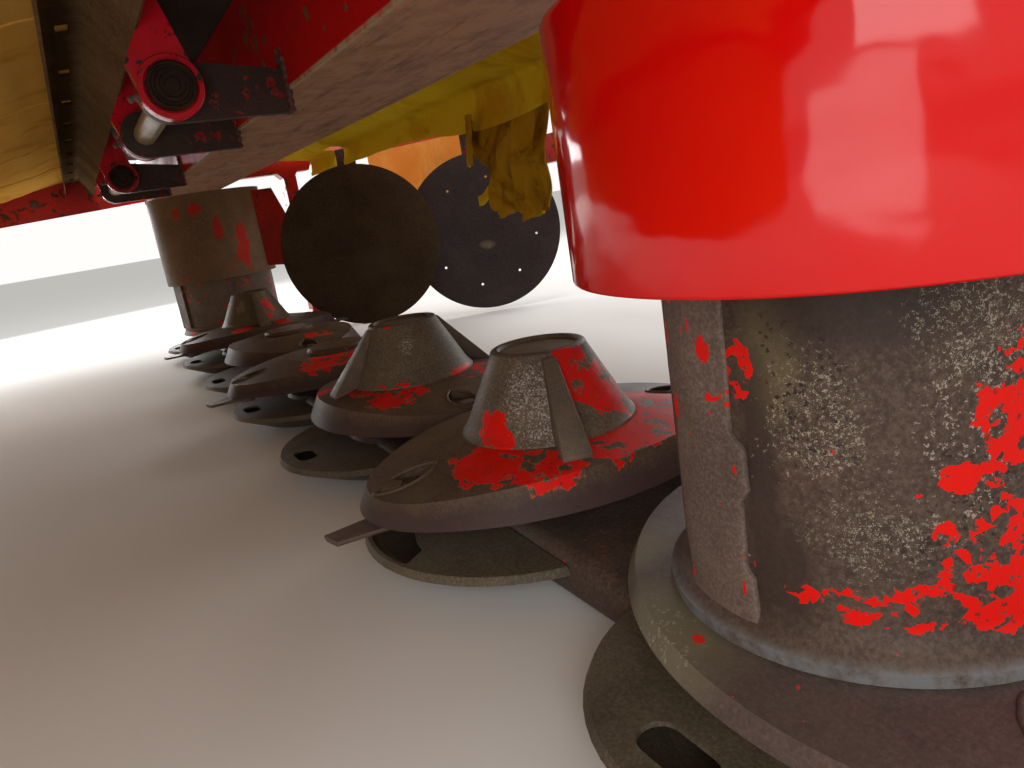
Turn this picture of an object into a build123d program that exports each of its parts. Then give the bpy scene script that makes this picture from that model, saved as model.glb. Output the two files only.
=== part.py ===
from build123d import *
import math
import os

# Disc mower for the front three-point linkage of a tractor.
# Sizes are in millimetres. X runs along the cutter bar, Y points forward, Z is up from the floor.
# Every shape is drawn about the line of the disc axes, and write_node moves it to the part's origin.

# Cutter bar and skid shoes
disc_count = 7
disc_pitch = 420
bar_bottom = 8
bar_top = 58
bar_front = 105
bar_rear = 130
bar_nose_radius = 18
bar_lobe_radius = 120
bar_lobe_chamfer = 6
bar_end_overhang = 150
skid_thick = 8
skid_cover = 4
skid_radius = 190
skid_centre_y = 45
skid_rear = 118
skid_half_width = 125
skid_flat_front = 122
skid_lip_height = 40
skid_cover_top = 53
skid_hole_length = 62
skid_hole_width = 30
skid_hole_setback = 38
end_skid_radius = 154
end_skid_centre_y = 72
hub_radius = 60
hub_height = 16
shaft_radius = 22
running_gap = 0.05
face_gap = 0.3

# Discs and blades
disc_half_length = 235
disc_half_width = 170
disc_tip_radius = 120
disc_wall = 7
disc_boss_radius = 55
rim_bottom = 87
rim_taper = 28
shaft_depth_in_disc = 15
blade_top = 80
blade_thick = 6
blade_bolt_reach = 200
blade_tip_reach = 278
blade_root_half_width = 23
blade_tip_half_width = 13
blade_boss_radius = 22
blade_bolt_head_radius = 15
blade_bolt_head_height = 6
eye_reach = 184
eye_side_radius = 46
eye_side_offset = 27
eye_depth = 4
eye_rim = 6
nut_radius = 12
nut_height = 6
cap_radius = 62
cap_height = 10

# Cones and drums
cone_base_height = 130
cone_flank_drop = 23
cone_base_radius = 99
cone_top_radius = 53
cone_height = 90
cone_wall = 5
cone_recess_radius = 46
cone_recess_depth = 4
cone_top_edge = 4
cone_plateau_margin = 5
fin_thick = 16
fin_reach = 137
fin_top_below = 8
drum_wall = 5
drum_base_height = 102
drum_flank_drop = 5
drum_rib_count = 2
drum_rib_width = 62
drum_rib_proud = 6
drum_rib_turn = -75
drum_ring_height = 8
drum_plateau_margin = 4

# Shrouds round the drums
shroud_radius = 181
shroud_wall = 5
shroud_lid = 6
near_shroud_bottom = 327
near_shroud_top = 485
far_shroud_bottom = 258
neck_radius = 110
flap_offset = 120
flap_reach = 232
flap_thick = 6
flap_top_below = 14
flap_height = 262

# Beam and its end hangers
beam_bottom = 540
beam_height = 140
beam_front = 169
beam_rear = -32
beam_wall = 6
beam_overhang = 140
beam_cap_thick = 8
rail_stub_size = 50
hanger_inset = 10
hanger_width = 60
hanger_rear = 345
hanger_leg_depth = 45
hanger_top_drop = 10
hanger_arm_height = 90

# Front guard: a hinged frame with a perforated channel, end plates and a canvas
pin_y = 296
pin_z = 548
pin_radius = 15
eye_radius = 32
ear_thick = 15
ear_height = 46
arm_thick = 20
pin_head_radius = 23
pin_head_length = 8
pin_head_gap = 1
pin_tip = 3
hinge_inner = 330
hinge_outer = 665
side_play = 3
guard_overhang = 160
end_plate_thick = 6
end_plate_rear = 132
canvas_thick = 3
front_reach = 900
roof_rear_y = 348
roof_rear_z = 662
roof_bend_y = 403
roof_bend_z = 658
roof_front_z = 572
roof_nose = 45
roof_nose_z = 540
end_plate_rear_top = 650
end_plate_rear_bottom = 559
end_plate_nose = 25
end_plate_drop = 48
arm_top_z = 660
arm_front_y = 352
channel_wall = 4
channel_points = [(317, 603), (349, 657), (393, 653), (397, 618)]
slot_count = 13
slot_length = 46
slot_width = 15
front_rail_size = 40
front_curtain_bottom = 190

# Rear frame, canvases and swath discs
rear_reach = 1100
rail_height = 75
rail_thick = 8
rail_bottom = 625
side_rail_front = 95
side_rail_rear = 690
rear_rail_y = 430
rear_rail_size = 40
rear_rail_bottom = 606
outrigger_x = 815
outrigger_size = 50
swath_radius = 260
swath_wall = 4
swath_dish = 24
swath_flat_radius = 110
swath_axle_radius = 20
axle_start = 10
swath_boss_radius = 42
swath_boss_length = 30
swath_arm_width = 60
swath_arm_thick = 16
rear_canvas_half_width = 1310
arm_hole_width = 90
arm_hole_length = 110
arm_hole_height = 140
flap_left_x = -310
flap_right_x = -5
torn_top = 556
torn_bottom = 325
side_curtain_bottom = 330

# Drive line
gearbox_width = 260
gearbox_depth = 220
gearbox_height = 190
side_gearbox_size = 190
side_gearbox_height = 170
drive_rise = 100
gearbox_chamfer = 22
gearbox_cover_inset = 35
gearbox_cover_height = 12
drive_tube_radius = 42
tube_flange_radius = 62
tube_flange_length = 14
stub_radius = 17.5
stub_length = 95
stub_flange_radius = 50
stub_flange_length = 25

# Headstock and its parallelogram
link_front_y = -70
link_rear_y = -640
lower_link_front_z = 770
lower_link_rear_z = 710
link_spread = 240
lower_arm_x = 340
lower_arm_thick = 30
top_arm_thick = 40
arm_depth = 56
link_pin_radius = 14
link_eye_radius = 36
lug_thick = 14
tower_leg = 50
tower_headroom = 60
hitch_y = -725
hitch_z = 480
hitch_shoulder = 412.5
hitch_pin_radius = 14.2
hitch_pin_length = 68
mast_height = 610
top_bore_radius = 12.75
top_ear_gap = 52
top_ear_thick = 14
top_bore_setback = 60
head_tube = 70

# Parking stands: legs that slide in sleeves behind the rear rail
stand_x = 1200
stand_tube = 50
stand_wall = 5
stand_play = 0.3
stand_top = 700
stand_hole_radius = 9
stand_hole_pitch = 80
stand_hole_count = 4
sleeve_wall = 6
sleeve_bottom = 540
sleeve_top = 690
sleeve_boss_radius = 16
sleeve_boss_length = 14
foot_size = 100
foot_thick = 12

half_span = disc_pitch * (disc_count - 1) / 2
beam_half_length = half_span + beam_overhang
hanger_outer = beam_half_length - hanger_inset
guard_half_width = beam_half_length + guard_overhang
beam_top = beam_bottom + beam_height
drive_height = beam_top + drive_rise
hub_top = bar_top + hub_height
bar_y = (rear_reach - front_reach) / 2

# number, what it carries, drum radius, drum ring width, drum top, turned by (degrees)
disc_table = [
    (1, "drum", 125, 13, 440, 155),
    (2, "cone", 0, 0, 0, 90),
    (3, "cone", 0, 0, 0, 0),
    (4, "cap", 0, 0, 0, 90),
    (5, "cap", 0, 0, 0, 0),
    (6, "cone", 0, 0, 0, 90),
    (7, "drum", 160, 3, 505, 0),
]

# the cover that is torn open, and the outline of the tear from the centre of its round front (x, y)
torn_shoe = 2
torn_cover = [(-56, 195), (-50, 169), (-35, 147), (-12, 145), (14, 137), (30, 121), (66, 125), (84, 151),
              (80, 195)]

# side of the mower, centre x (from the middle), y, z, direction of the axle from X (degrees)
swath_table = [
    ("front", 918, -404, 293, 24),
    ("rear", 784, -795, 271, 24),
]


def write_node(name, *shapes):
    placed = [Pos(0, bar_y, 0) * shape for shape in shapes]
    solids = [solid for shape in placed for solid in shape.solids()]
    export_step(Compound(children=solids) if len(solids) > 1 else solids[0], f"parts/{name}.step")


def block(x0, x1, y0, y1, z0, z1):
    return Pos((x0 + x1) / 2, (y0 + y1) / 2, (z0 + z1) / 2) * Box(x1 - x0, y1 - y0, z1 - z0)


def post(radius, z0, z1, x=0, y=0):
    return Pos(x, y, (z0 + z1) / 2) * Cylinder(radius, z1 - z0)


def rod_x(radius, x0, x1, y, z):
    return Pos((x0 + x1) / 2, y, z) * Rot(0, 90, 0) * Cylinder(radius, x1 - x0)


def side_plate(points, x0, x1):
    """A flat outline in Y and Z, given its thickness along X."""
    outline = Plane.YZ * Polygon(*points, align=None)
    return Pos(x0, 0, 0) * extrude(outline, amount=x1 - x0, dir=(1, 0, 0))


def turned(points):
    """A closed outline of radius and height, turned about Z."""
    return revolve(Plane.XZ * Polygon(*points, align=None), Axis.Z)


def sheet_outline(points, thick):
    """The outline of a bent strip that has its thickness on the left of the line of points."""
    normals = []
    for (ya, za), (yb, zb) in zip(points, points[1:]):
        length = math.hypot(yb - ya, zb - za)
        normals.append(((za - zb) / length, (yb - ya) / length))
    offset = []
    for i, (y, z) in enumerate(points):
        before = normals[max(i - 1, 0)]
        after = normals[min(i, len(normals) - 1)]
        scale = thick / (1 + before[0] * after[0] + before[1] * after[1])
        offset.append((y + scale * (before[0] + after[0]), z + scale * (before[1] + after[1])))
    return list(points) + offset[::-1]


def bar_between(start, end, width, x0, x1):
    """A straight arm in the YZ plane with rounded ends, width deep, from x0 to x1."""
    (ya, za), (yb, zb) = start, end
    length = math.hypot(yb - ya, zb - za)
    across = (width / 2 * (za - zb) / length, width / 2 * (yb - ya) / length)
    outline = [(ya + across[0], za + across[1]), (yb + across[0], zb + across[1]),
               (yb - across[0], zb - across[1]), (ya - across[0], za - across[1])]
    return side_plate(outline, x0, x1)


def on_both_sides(shape):
    return [shape, mirror(shape, about=Plane.YZ)]


def disc_x(number):
    return (number - 1) * disc_pitch - half_span


def oval_section(inset, z):
    """The oval of a disc in four arcs, drawn inset from its rim."""
    tip_centre = disc_half_length - disc_tip_radius
    spare = disc_half_width - disc_tip_radius
    side_drop = (tip_centre ** 2 - spare ** 2) / (2 * spare)
    reach = spare + side_drop
    radius = disc_tip_radius - inset
    corner = (tip_centre + radius * tip_centre / reach, radius * side_drop / reach)
    return four_arc_face(disc_half_length - inset, disc_half_width - inset, corner, z)


def four_arc_face(tip, side, corner, z):
    x, y = corner
    arcs = [
        ThreePointArc((x, -y, z), (tip, 0, z), (x, y, z)),
        ThreePointArc((x, y, z), (0, side, z), (-x, y, z)),
        ThreePointArc((-x, y, z), (-tip, 0, z), (-x, -y, z)),
        ThreePointArc((-x, -y, z), (0, -side, z), (x, -y, z)),
    ]
    return Face(Wire(arcs))


def plateau(kind, drum_radius, ring_width):
    """Radius and height of the level middle of a disc, and how far its flank drops to the tips."""
    if kind == "drum":
        return drum_radius + ring_width + drum_plateau_margin, drum_base_height, drum_flank_drop
    return cone_base_radius + cone_plateau_margin, cone_base_height, cone_flank_drop


def flank_height(reach, kind, drum_radius=0, ring_width=0):
    """The height of a disc's sloping top at a distance from its axis."""
    radius, height, drop = plateau(kind, drum_radius, ring_width)
    return height - drop * (reach - radius) / (disc_half_length - radius)


def disc_form(kind, drum_radius, ring_width, wall):
    """A low cone cut to the oval's steep rim, or with a wall the hollow under it."""
    radius, height, _ = plateau(kind, drum_radius, ring_width)
    outline = oval_section(wall, rim_bottom - wall)
    rim = extrude(outline, amount=height - rim_bottom + wall, dir=(0, 0, 1), taper=rim_taper)
    edge = disc_half_length + wall
    edge_height = flank_height(edge, kind, drum_radius, ring_width)
    flank = [(0, 0), (edge, 0), (edge, edge_height - wall), (radius, height - wall), (0, height - wall)]
    return rim & turned(flank)


def bolt_eye(reach, grow, low, high):
    """The pointed oval round a blade's bolt, grown on all sides."""
    side = post(eye_side_radius + grow, low, high, x=reach, y=eye_side_offset)
    return side & post(eye_side_radius + grow, low, high, x=reach, y=-eye_side_offset)


def disc_shape(kind, drum_radius, ring_width):
    """An oval disc, hollow below, with its boss, blade seats and bolt eyes."""
    _, height, _ = plateau(kind, drum_radius, ring_width)
    whole = disc_form(kind, drum_radius, ring_width, 0)
    disc = whole - disc_form(kind, drum_radius, ring_width, disc_wall)
    disc += post(disc_boss_radius, hub_top + face_gap, height - disc_wall)
    eye_floor = flank_height(blade_bolt_reach, kind, drum_radius, ring_width) - eye_depth
    for side in (-1, 1):
        disc += bolt_eye(side * eye_reach, eye_rim, eye_floor - disc_wall, height) & whole
        disc += post(blade_boss_radius, blade_top, eye_floor, x=side * blade_bolt_reach)
        disc -= bolt_eye(side * eye_reach, 0, eye_floor, height)
        nut = extrude(RegularPolygon(nut_radius, 6), amount=nut_height)
        disc += Pos(side * blade_bolt_reach, 0, eye_floor) * nut
    disc -= post(shaft_radius + running_gap, hub_top, hub_top + shaft_depth_in_disc + face_gap)
    if kind == "cap":
        cap = post(cap_radius, height, height + cap_height)
        disc += chamfer(cap.edges().group_by(Axis.Z)[-1], cap_height / 2)
    return disc


def blade_pair():
    """Two flat knives under the tips of a disc, each with its bolt head."""
    outline = [
        (blade_bolt_reach, blade_root_half_width),
        (blade_tip_reach - 6, blade_tip_half_width + 2),
        (blade_tip_reach, -blade_tip_half_width),
        (blade_bolt_reach, -blade_root_half_width),
    ]
    knife = extrude(Polygon(*outline, align=None), amount=blade_thick, dir=(0, 0, 1))
    long_edges = knife.edges().group_by(Axis.Z)[0].sort_by(Axis.Y)
    knife = chamfer([long_edges[0], long_edges[-1]], blade_thick / 2)
    knife += Pos(blade_bolt_reach, 0, blade_thick / 2) * Cylinder(blade_root_half_width, blade_thick)
    head = extrude(RegularPolygon(blade_bolt_head_radius, 6), amount=blade_bolt_head_height, dir=(0, 0, -1))
    knife = Pos(0, 0, blade_top - blade_thick) * (knife + Pos(blade_bolt_reach, 0, 0) * head)
    return [knife, Rot(0, 0, 180) * knife]


def crop_cone():
    """A hollow cone with a sunk top and two fins that stand on the disc's flanks."""
    top = cone_base_height + cone_height
    flank = (cone_base_radius - cone_top_radius) / cone_height
    lid_bottom = top - cone_recess_depth - cone_wall
    inner_base = cone_base_radius - cone_wall * math.hypot(1, flank)
    inner_top = inner_base - flank * (lid_bottom - cone_base_height)
    cone = turned([
        (inner_base, cone_base_height), (cone_base_radius, cone_base_height),
        (cone_top_radius + flank * cone_top_edge, top - cone_top_edge),
        (cone_top_radius - cone_top_edge / 2, top),
        (cone_recess_radius, top), (cone_recess_radius, top - cone_recess_depth),
        (0, top - cone_recess_depth), (0, lid_bottom), (inner_top, lid_bottom),
    ])
    level = cone_base_radius + cone_plateau_margin
    fin_top = top - fin_top_below
    fin_root = cone_base_radius - flank * (fin_top - cone_base_height)
    foot = flank_height(fin_reach, "cone") + face_gap
    outline = [
        (fin_root - 2, fin_top), (fin_root + 5, fin_top), (fin_reach, foot + 6), (fin_reach, foot),
        (level, cone_base_height + face_gap), (cone_base_radius - 3, cone_base_height + face_gap),
    ]
    fin = side_plate(outline, -fin_thick / 2, fin_thick / 2)
    return cone + fin + Rot(0, 0, 180) * fin


def crop_drum(radius, ring_width, top):
    """A drum that is open below, with a ring at its foot and flat ribs on its wall."""
    base = drum_base_height
    drum = turned([
        (radius - drum_wall, base), (radius + ring_width, base),
        (radius + ring_width, base + drum_ring_height), (radius, base + drum_ring_height + 4),
        (radius, top), (0, top), (0, top - drum_wall), (radius - drum_wall, top - drum_wall),
    ])
    rib = block(radius - 3, radius + drum_rib_proud, -drum_rib_width / 2, drum_rib_width / 2,
                base + drum_ring_height + 2, top - 12)
    for i in range(drum_rib_count):
        drum += Rot(0, 0, drum_rib_turn + i * 360 / drum_rib_count) * rib
    return drum


def cutter_bar():
    """The flat welded bar, with a rounded nose and a lobe at the front of each disc."""
    half = half_span + bar_end_overhang
    bar = block(-half, half, -bar_rear, bar_front, bar_bottom, bar_top)
    bar = fillet(bar.edges().filter_by(Axis.X).group_by(Axis.Y)[-1], bar_nose_radius)
    lobe = post(bar_lobe_radius, bar_bottom, bar_top)
    lobe = chamfer(lobe.edges().group_by(Axis.Z)[-1], bar_lobe_chamfer)
    for number in range(1, disc_count + 1):
        bar += Pos(disc_x(number), 0, 0) * lobe
    return bar


def disc_hub(number):
    hub = post(hub_radius, bar_top, hub_top) + post(shaft_radius, hub_top, hub_top + shaft_depth_in_disc)
    return Pos(disc_x(number), 0, 0) * hub


def skid_shoe(number):
    """A closed wear shoe: a dished plate that rises to a lip, and a cover from the lip to the bar."""
    radius, centre_y = skid_radius, skid_centre_y
    if number == 1:
        radius, centre_y = end_skid_radius, end_skid_centre_y
    flat = skid_flat_front - centre_y
    dish = [(0, 0), (flat, 0), ((flat + radius) / 2, 0.3 * skid_lip_height), (radius, skid_lip_height)]
    lid = [(0, skid_cover_top - skid_cover), (radius - skid_cover, skid_lip_height + skid_thick / 2)]
    shoe = turned(sheet_outline(dish, skid_thick)) + turned(sheet_outline(lid, skid_cover))
    hole_y = radius - skid_hole_setback
    half_width = skid_hole_width / 2
    hole_end = skid_hole_length / 2 - half_width
    hole = block(-hole_end, hole_end, hole_y - half_width, hole_y + half_width, 0, bar_top)
    for side in (-1, 1):
        hole += post(half_width, 0, bar_top, x=side * hole_end, y=hole_y)
    if number == torn_shoe:
        hole = extrude(Polygon(*torn_cover, align=None), amount=bar_top)
        hole &= post(radius - 2 * skid_cover, 0, bar_top)
    shoe -= hole & block(-radius, radius, 0, radius, skid_lip_height, bar_top)
    shoe = Pos(0, centre_y, 0) * shoe
    room = bar_bottom + 2 * skid_lip_height
    shoe -= block(-radius, radius, -radius, bar_front + face_gap, bar_bottom, room)
    shoe -= post(bar_lobe_radius + face_gap, bar_bottom, room)
    shoe += block(-skid_half_width, skid_half_width, -skid_rear, centre_y, 0, skid_thick)
    return Pos(disc_x(number), 0, 0) * shoe


def shroud(number, bottom, top):
    """A fixed round skirt with a flat lid, open below, that the drum turns in."""
    inner = shroud_radius - shroud_wall
    skirt = turned([(inner, bottom), (shroud_radius, bottom), (shroud_radius, top), (0, top),
                    (0, top - shroud_lid), (inner, top - shroud_lid)])
    skirt = chamfer(skirt.edges().group_by(Axis.Z)[0], shroud_wall / 4)
    return Pos(disc_x(number), 0, 0) * skirt


def flap_plate():
    """A plate that carries on from the far shroud's inner rear side."""
    x = disc_x(disc_count) - flap_offset
    top = beam_bottom - flap_top_below
    outline = [(-shroud_radius / 2, top), (-flap_reach + 30, top), (-flap_reach, top - 90),
               (-flap_reach + 18, top - flap_height), (-shroud_radius / 2, top - flap_height + 16)]
    plate = side_plate(outline, x - flap_thick / 2, x + flap_thick / 2)
    return plate - post(shroud_radius, 0, beam_bottom, x=disc_x(disc_count))


def beam():
    half = beam_half_length
    outer = block(-half, half, beam_rear, beam_front, beam_bottom, beam_top)
    inner = block(-half, half, beam_rear + beam_wall, beam_front - beam_wall,
                  beam_bottom + beam_wall, beam_top - beam_wall)
    return outer - inner


def beam_cap():
    """The beam's end plate, with the stub that carries the side rail."""
    x = beam_half_length
    cap = block(x, x + beam_cap_thick, beam_rear, beam_front, beam_bottom, beam_top)
    rear = beam_rear + 10
    top = rail_bottom + rail_stub_size
    return cap + block(x, guard_half_width, rear, rear + rail_stub_size, rail_bottom, top)


def bar_hanger():
    """A bracket from the back of the beam, down behind the end disc, to the back of the bar."""
    top = beam_top - hanger_top_drop
    rail_face = rear_rail_size / 2 - rear_rail_y
    outline = [
        (beam_rear, top), (rail_face + 20, top), (rail_face, top - 20), (rail_face, rear_rail_bottom),
        (rail_face + 12, top - hanger_arm_height),
        (-hanger_rear - 8, top - hanger_arm_height), (-hanger_rear, top - hanger_arm_height - 12),
        (-hanger_rear, bar_bottom + 14),
        (-hanger_rear + 14, bar_bottom), (-bar_rear, bar_bottom), (-bar_rear, bar_top),
        (-hanger_rear + hanger_leg_depth + 12, bar_top), (-hanger_rear + hanger_leg_depth, bar_top + 14),
        (-hanger_rear + hanger_leg_depth, top - hanger_arm_height - 20),
        (-hanger_rear + hanger_leg_depth + 20, top - hanger_arm_height),
        (beam_rear, top - hanger_arm_height),
    ]
    return side_plate(outline, hanger_outer - hanger_width, hanger_outer)


def hinge_ear(x0, x1):
    """A round-nosed lug from the beam's front that holds the guard's pin."""
    nose = rod_x(eye_radius, x0, x1, pin_y, pin_z)
    low, high = pin_z - eye_radius, pin_z + eye_radius
    outline = [(beam_front, low), (pin_y, low), (pin_y, high), (beam_front, low + ear_height)]
    web = side_plate(outline, x0, x1)
    return nose + web - rod_x(pin_radius + running_gap, x0, x1, pin_y, pin_z)


def hinge_ears():
    ears = []
    for inner in (hinge_inner, hinge_outer - ear_thick):
        ears += on_both_sides(hinge_ear(inner, inner + ear_thick))
    return ears


def hinge_pin():
    """The guard's pin, with a round head outside each arm."""
    low = hinge_inner - side_play - arm_thick - pin_head_gap
    high = hinge_outer + side_play + arm_thick + pin_head_gap
    reach = pin_head_length + pin_tip
    pin = rod_x(pin_radius, low - reach, high + reach, pin_y, pin_z)
    pin += rod_x(pin_head_radius, low - pin_head_length, low, pin_y, pin_z)
    return pin + rod_x(pin_head_radius, high, high + pin_head_length, pin_y, pin_z)


def guard_channel():
    """The bent channel with slots along its web."""
    channel = side_plate(sheet_outline(channel_points, channel_wall), -guard_half_width, guard_half_width)
    pitch = 2 * (guard_half_width - disc_pitch / 4) / (slot_count - 1)
    (web_rear, web_top), (web_front, _) = channel_points[1:3]
    web_y = (web_rear + web_front) / 2
    slot = block(-slot_length / 2, slot_length / 2, web_y - slot_width / 2, web_y + slot_width / 2,
                 web_top - 4 * channel_wall, web_top + 4 * channel_wall)
    for i in range(slot_count):
        channel -= Pos((i - (slot_count - 1) / 2) * pitch, 0, 0) * slot
    return channel


def guard_arm(x0, x1):
    """A red arm with an eye on the pin that rises to the channel's back."""
    outline = [(pin_y - 28, pin_z + 10), (pin_y + 2, arm_top_z), (arm_front_y - 6, arm_top_z),
               (arm_front_y, arm_top_z - 20), (pin_y + 30, pin_z)]
    arm = rod_x(eye_radius, x0, x1, pin_y, pin_z) + side_plate(outline, x0, x1)
    (rear, _), (front, _) = channel_points[0], channel_points[-1]
    arm -= side_plate(channel_points + [(front, pin_z), (rear + eye_radius, pin_z)], x0, x1)
    arm -= side_plate(sheet_outline(channel_points, channel_wall), x0, x1)
    return arm - rod_x(pin_radius + running_gap, x0, x1, pin_y, pin_z)


def guard_arms():
    arms = on_both_sides(guard_arm(hinge_inner - side_play - arm_thick, hinge_inner - side_play))
    arms += on_both_sides(guard_arm(hinge_outer + side_play, hinge_outer + side_play + arm_thick))
    return arms


def roof_line():
    """The canvas line over the front guard: back edge, sloping roof and hanging curtain."""
    front = front_reach - canvas_thick
    return [(roof_rear_y, roof_rear_z), (roof_bend_y, roof_bend_z), (front_reach - roof_nose, roof_front_z),
            (front, roof_nose_z), (front, front_curtain_bottom)]


def guard_frame():
    """Two end plates joined by the front rail."""
    nose = roof_line()[2][0]
    low = roof_front_z - end_plate_drop
    half = guard_half_width
    outline = [(end_plate_rear, end_plate_rear_bottom), (end_plate_rear, end_plate_rear_top),
               *roof_line()[:3], (nose + end_plate_nose, roof_nose_z), (nose + end_plate_nose, low)]
    plates = on_both_sides(side_plate(outline, half, half + end_plate_thick))
    top = roof_front_z - face_gap
    rail = block(-half, half, nose - front_rail_size, nose, top - front_rail_size, top)
    return plates[0] + rail + plates[1]


def front_canvas():
    half = guard_half_width + end_plate_thick
    return side_plate(sheet_outline(roof_line(), canvas_thick), -half, half)


def side_rail():
    x = guard_half_width
    high = rail_bottom + rail_height
    return block(x, x + rail_thick, -side_rail_rear, side_rail_front, rail_bottom, high)


def diagonal_strip(start, end, thick, low, high):
    """A flat strip along the diagonal from the side rail's rear end to the outrigger's end.
    start and end are shares of that line, low and high the strip's edges."""
    x0, y0 = guard_half_width, -side_rail_rear
    x1, y1 = outrigger_x + outrigger_size / 2, -rear_reach + outrigger_size
    length = math.hypot(x1 - x0, y1 - y0)
    dx, dy = thick * (y1 - y0) / length, thick * (x0 - x1) / length
    xa, ya = x0 + start * (x1 - x0), y0 + start * (y1 - y0)
    xb, yb = x0 + end * (x1 - x0), y0 + end * (y1 - y0)
    outline = Polygon((xa, ya), (xb, yb), (xb - dx, yb - dy), (xa - dx, ya - dy), align=None)
    return Pos(0, 0, low) * extrude(outline, amount=high - low, dir=(0, 0, 1))


def diagonal_rail():
    return diagonal_strip(0.002, 1, rail_thick, rail_bottom, rail_bottom + rail_height)


def side_curtain():
    """A canvas that hangs from the diagonal rail, outside the swath discs."""
    return diagonal_strip(0.04, 0.95, canvas_thick, side_curtain_bottom, rail_bottom)


def outrigger():
    return block(outrigger_x - outrigger_size / 2, outrigger_x + outrigger_size / 2, -rear_reach,
                 -rear_rail_y - rear_rail_size / 2, rail_bottom, rail_bottom + outrigger_size)


def rear_rail():
    return block(-guard_half_width, guard_half_width, -rear_rail_y - rear_rail_size / 2,
                 -rear_rail_y + rear_rail_size / 2, rear_rail_bottom, rear_rail_bottom + rear_rail_size)


def swath_arm_base():
    """How far an arm's flat stands from its disc's face."""
    return swath_boss_length + face_gap + swath_arm_thick / 2


def rear_canvas():
    """The roof behind the beam, with a short hanging edge in front of the rear rail."""
    edge = -rear_rail_y + rear_rail_size / 2
    line = [(edge, torn_top), (edge, rear_rail_bottom + 6), (-240, 630), (beam_rear, 668)]
    half = rear_canvas_half_width
    canvas = side_plate(sheet_outline(line[::-1], canvas_thick), -half, half)
    canvas -= block(-beam_half_length, beam_half_length, beam_rear, beam_front, beam_bottom, beam_top)
    _, x, y, z, angle = swath_table[0]
    arm_x = x + swath_arm_base() * math.cos(math.radians(angle))
    arm_y = y - swath_arm_base() * math.sin(math.radians(angle))
    hole = Box(arm_hole_width, arm_hole_length, arm_hole_height)
    for side in (-1, 1):
        canvas -= Pos(side * arm_x, arm_y, rear_rail_bottom) * hole
    return canvas


def torn_flap():
    """A ragged piece of canvas that hangs from the middle of the rear edge."""
    outline = [(flap_left_x, torn_top), (flap_right_x, torn_top), (-20, 480), (-62, 436), (-84, 352),
               (-130, 336), (-168, 360), (-226, torn_bottom), (flap_left_x - 8, 350), (flap_left_x + 14, 450)]
    front = -rear_rail_y + rear_rail_size / 2 + canvas_thick
    flap = Plane.XZ * Polygon(*outline, align=None)
    return Pos(0, front, 0) * extrude(flap, amount=canvas_thick, dir=(0, -1, 0))


def swath_place(x, y, z, angle):
    """The frame of a swath disc, its local Z along the axle and away from the middle."""
    direction = Vector(math.cos(math.radians(angle)), -math.sin(math.radians(angle)), 0)
    return Plane(origin=(x, y, z), x_dir=(0, 0, 1), z_dir=direction).location


def swath_disc(place):
    """A thin dished disc with a hub on its outer side."""
    profile = turned([
        (0, 0), (swath_flat_radius, 0), (swath_radius, -swath_dish),
        (swath_radius, swath_wall - swath_dish), (swath_flat_radius, swath_wall),
        (swath_boss_radius, swath_wall), (swath_boss_radius, swath_boss_length), (0, swath_boss_length),
    ])
    hole = post(swath_axle_radius + running_gap, axle_start - face_gap, swath_boss_length + 1)
    return place * (profile - hole)


def swath_arm(place, height, seat):
    """The axle of a swath disc, with the flat arm that rises to the rail."""
    base = swath_arm_base()
    low, high = -swath_arm_width / 2, seat - height
    plate = Pos((low + high) / 2, 0, base) * Box(high - low, swath_arm_width, swath_arm_thick)
    axle = Pos(0, 0, (axle_start + base) / 2) * Cylinder(swath_axle_radius, base - axle_start)
    return place * (axle + plate)


def covered(case):
    """A cast case with broken edges and a cover plate on its top."""
    room = case.bounding_box()
    case = chamfer(case.edges().filter_by(Axis.Z) + case.edges().group_by(Axis.Z)[-1], gearbox_chamfer)
    low, high = room.min, room.max
    inset = gearbox_cover_inset
    cover = block(low.X + inset, high.X - inset, low.Y + inset, high.Y - inset, high.Z,
                  high.Z + gearbox_cover_height)
    return case + chamfer(cover.edges().filter_by(Axis.Z), gearbox_chamfer)


def gearbox():
    """The bevel gearbox on the beam, with its input stub to the rear."""
    half = gearbox_width / 2
    middle = (beam_rear + beam_front) / 2
    case = block(-half, half, middle - gearbox_depth / 2, middle + gearbox_depth / 2, beam_top,
                 beam_top + gearbox_height)
    case = covered(case)
    rear = middle - gearbox_depth / 2
    flange = Pos(0, rear - stub_flange_length / 2, drive_height) * Rot(90, 0, 0) * Cylinder(
        stub_flange_radius, stub_flange_length)
    stub_rear = rear - stub_flange_length - stub_length
    stub_place = Pos(0, (rear + stub_rear) / 2, drive_height) * Rot(90, 0, 0)
    return case + flange + stub_place * Cylinder(stub_radius, rear - stub_rear)


def side_gearbox():
    middle = (beam_rear + beam_front) / 2
    half = side_gearbox_size / 2
    x = disc_x(1)
    case = block(x - half, x + half, middle - half, middle + half, beam_top, beam_top + side_gearbox_height)
    return covered(case)


def drive_tube():
    """The tube between the gearboxes, with a flange at each end."""
    middle = (beam_rear + beam_front) / 2
    low, high = disc_x(1) + side_gearbox_size / 2, -gearbox_width / 2
    tube = rod_x(drive_tube_radius, low, high, middle, drive_height)
    tube += rod_x(tube_flange_radius, low, low + tube_flange_length, middle, drive_height)
    return tube + rod_x(tube_flange_radius, high - tube_flange_length, high, middle, drive_height)


def shroud_neck():
    return post(neck_radius, near_shroud_top, beam_bottom, x=disc_x(1), y=0)


def link_ends():
    lower = ((link_front_y, lower_link_front_z), (link_rear_y, lower_link_rear_z))
    top = tuple((y, z + link_spread) for y, z in lower)
    return lower, top


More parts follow.
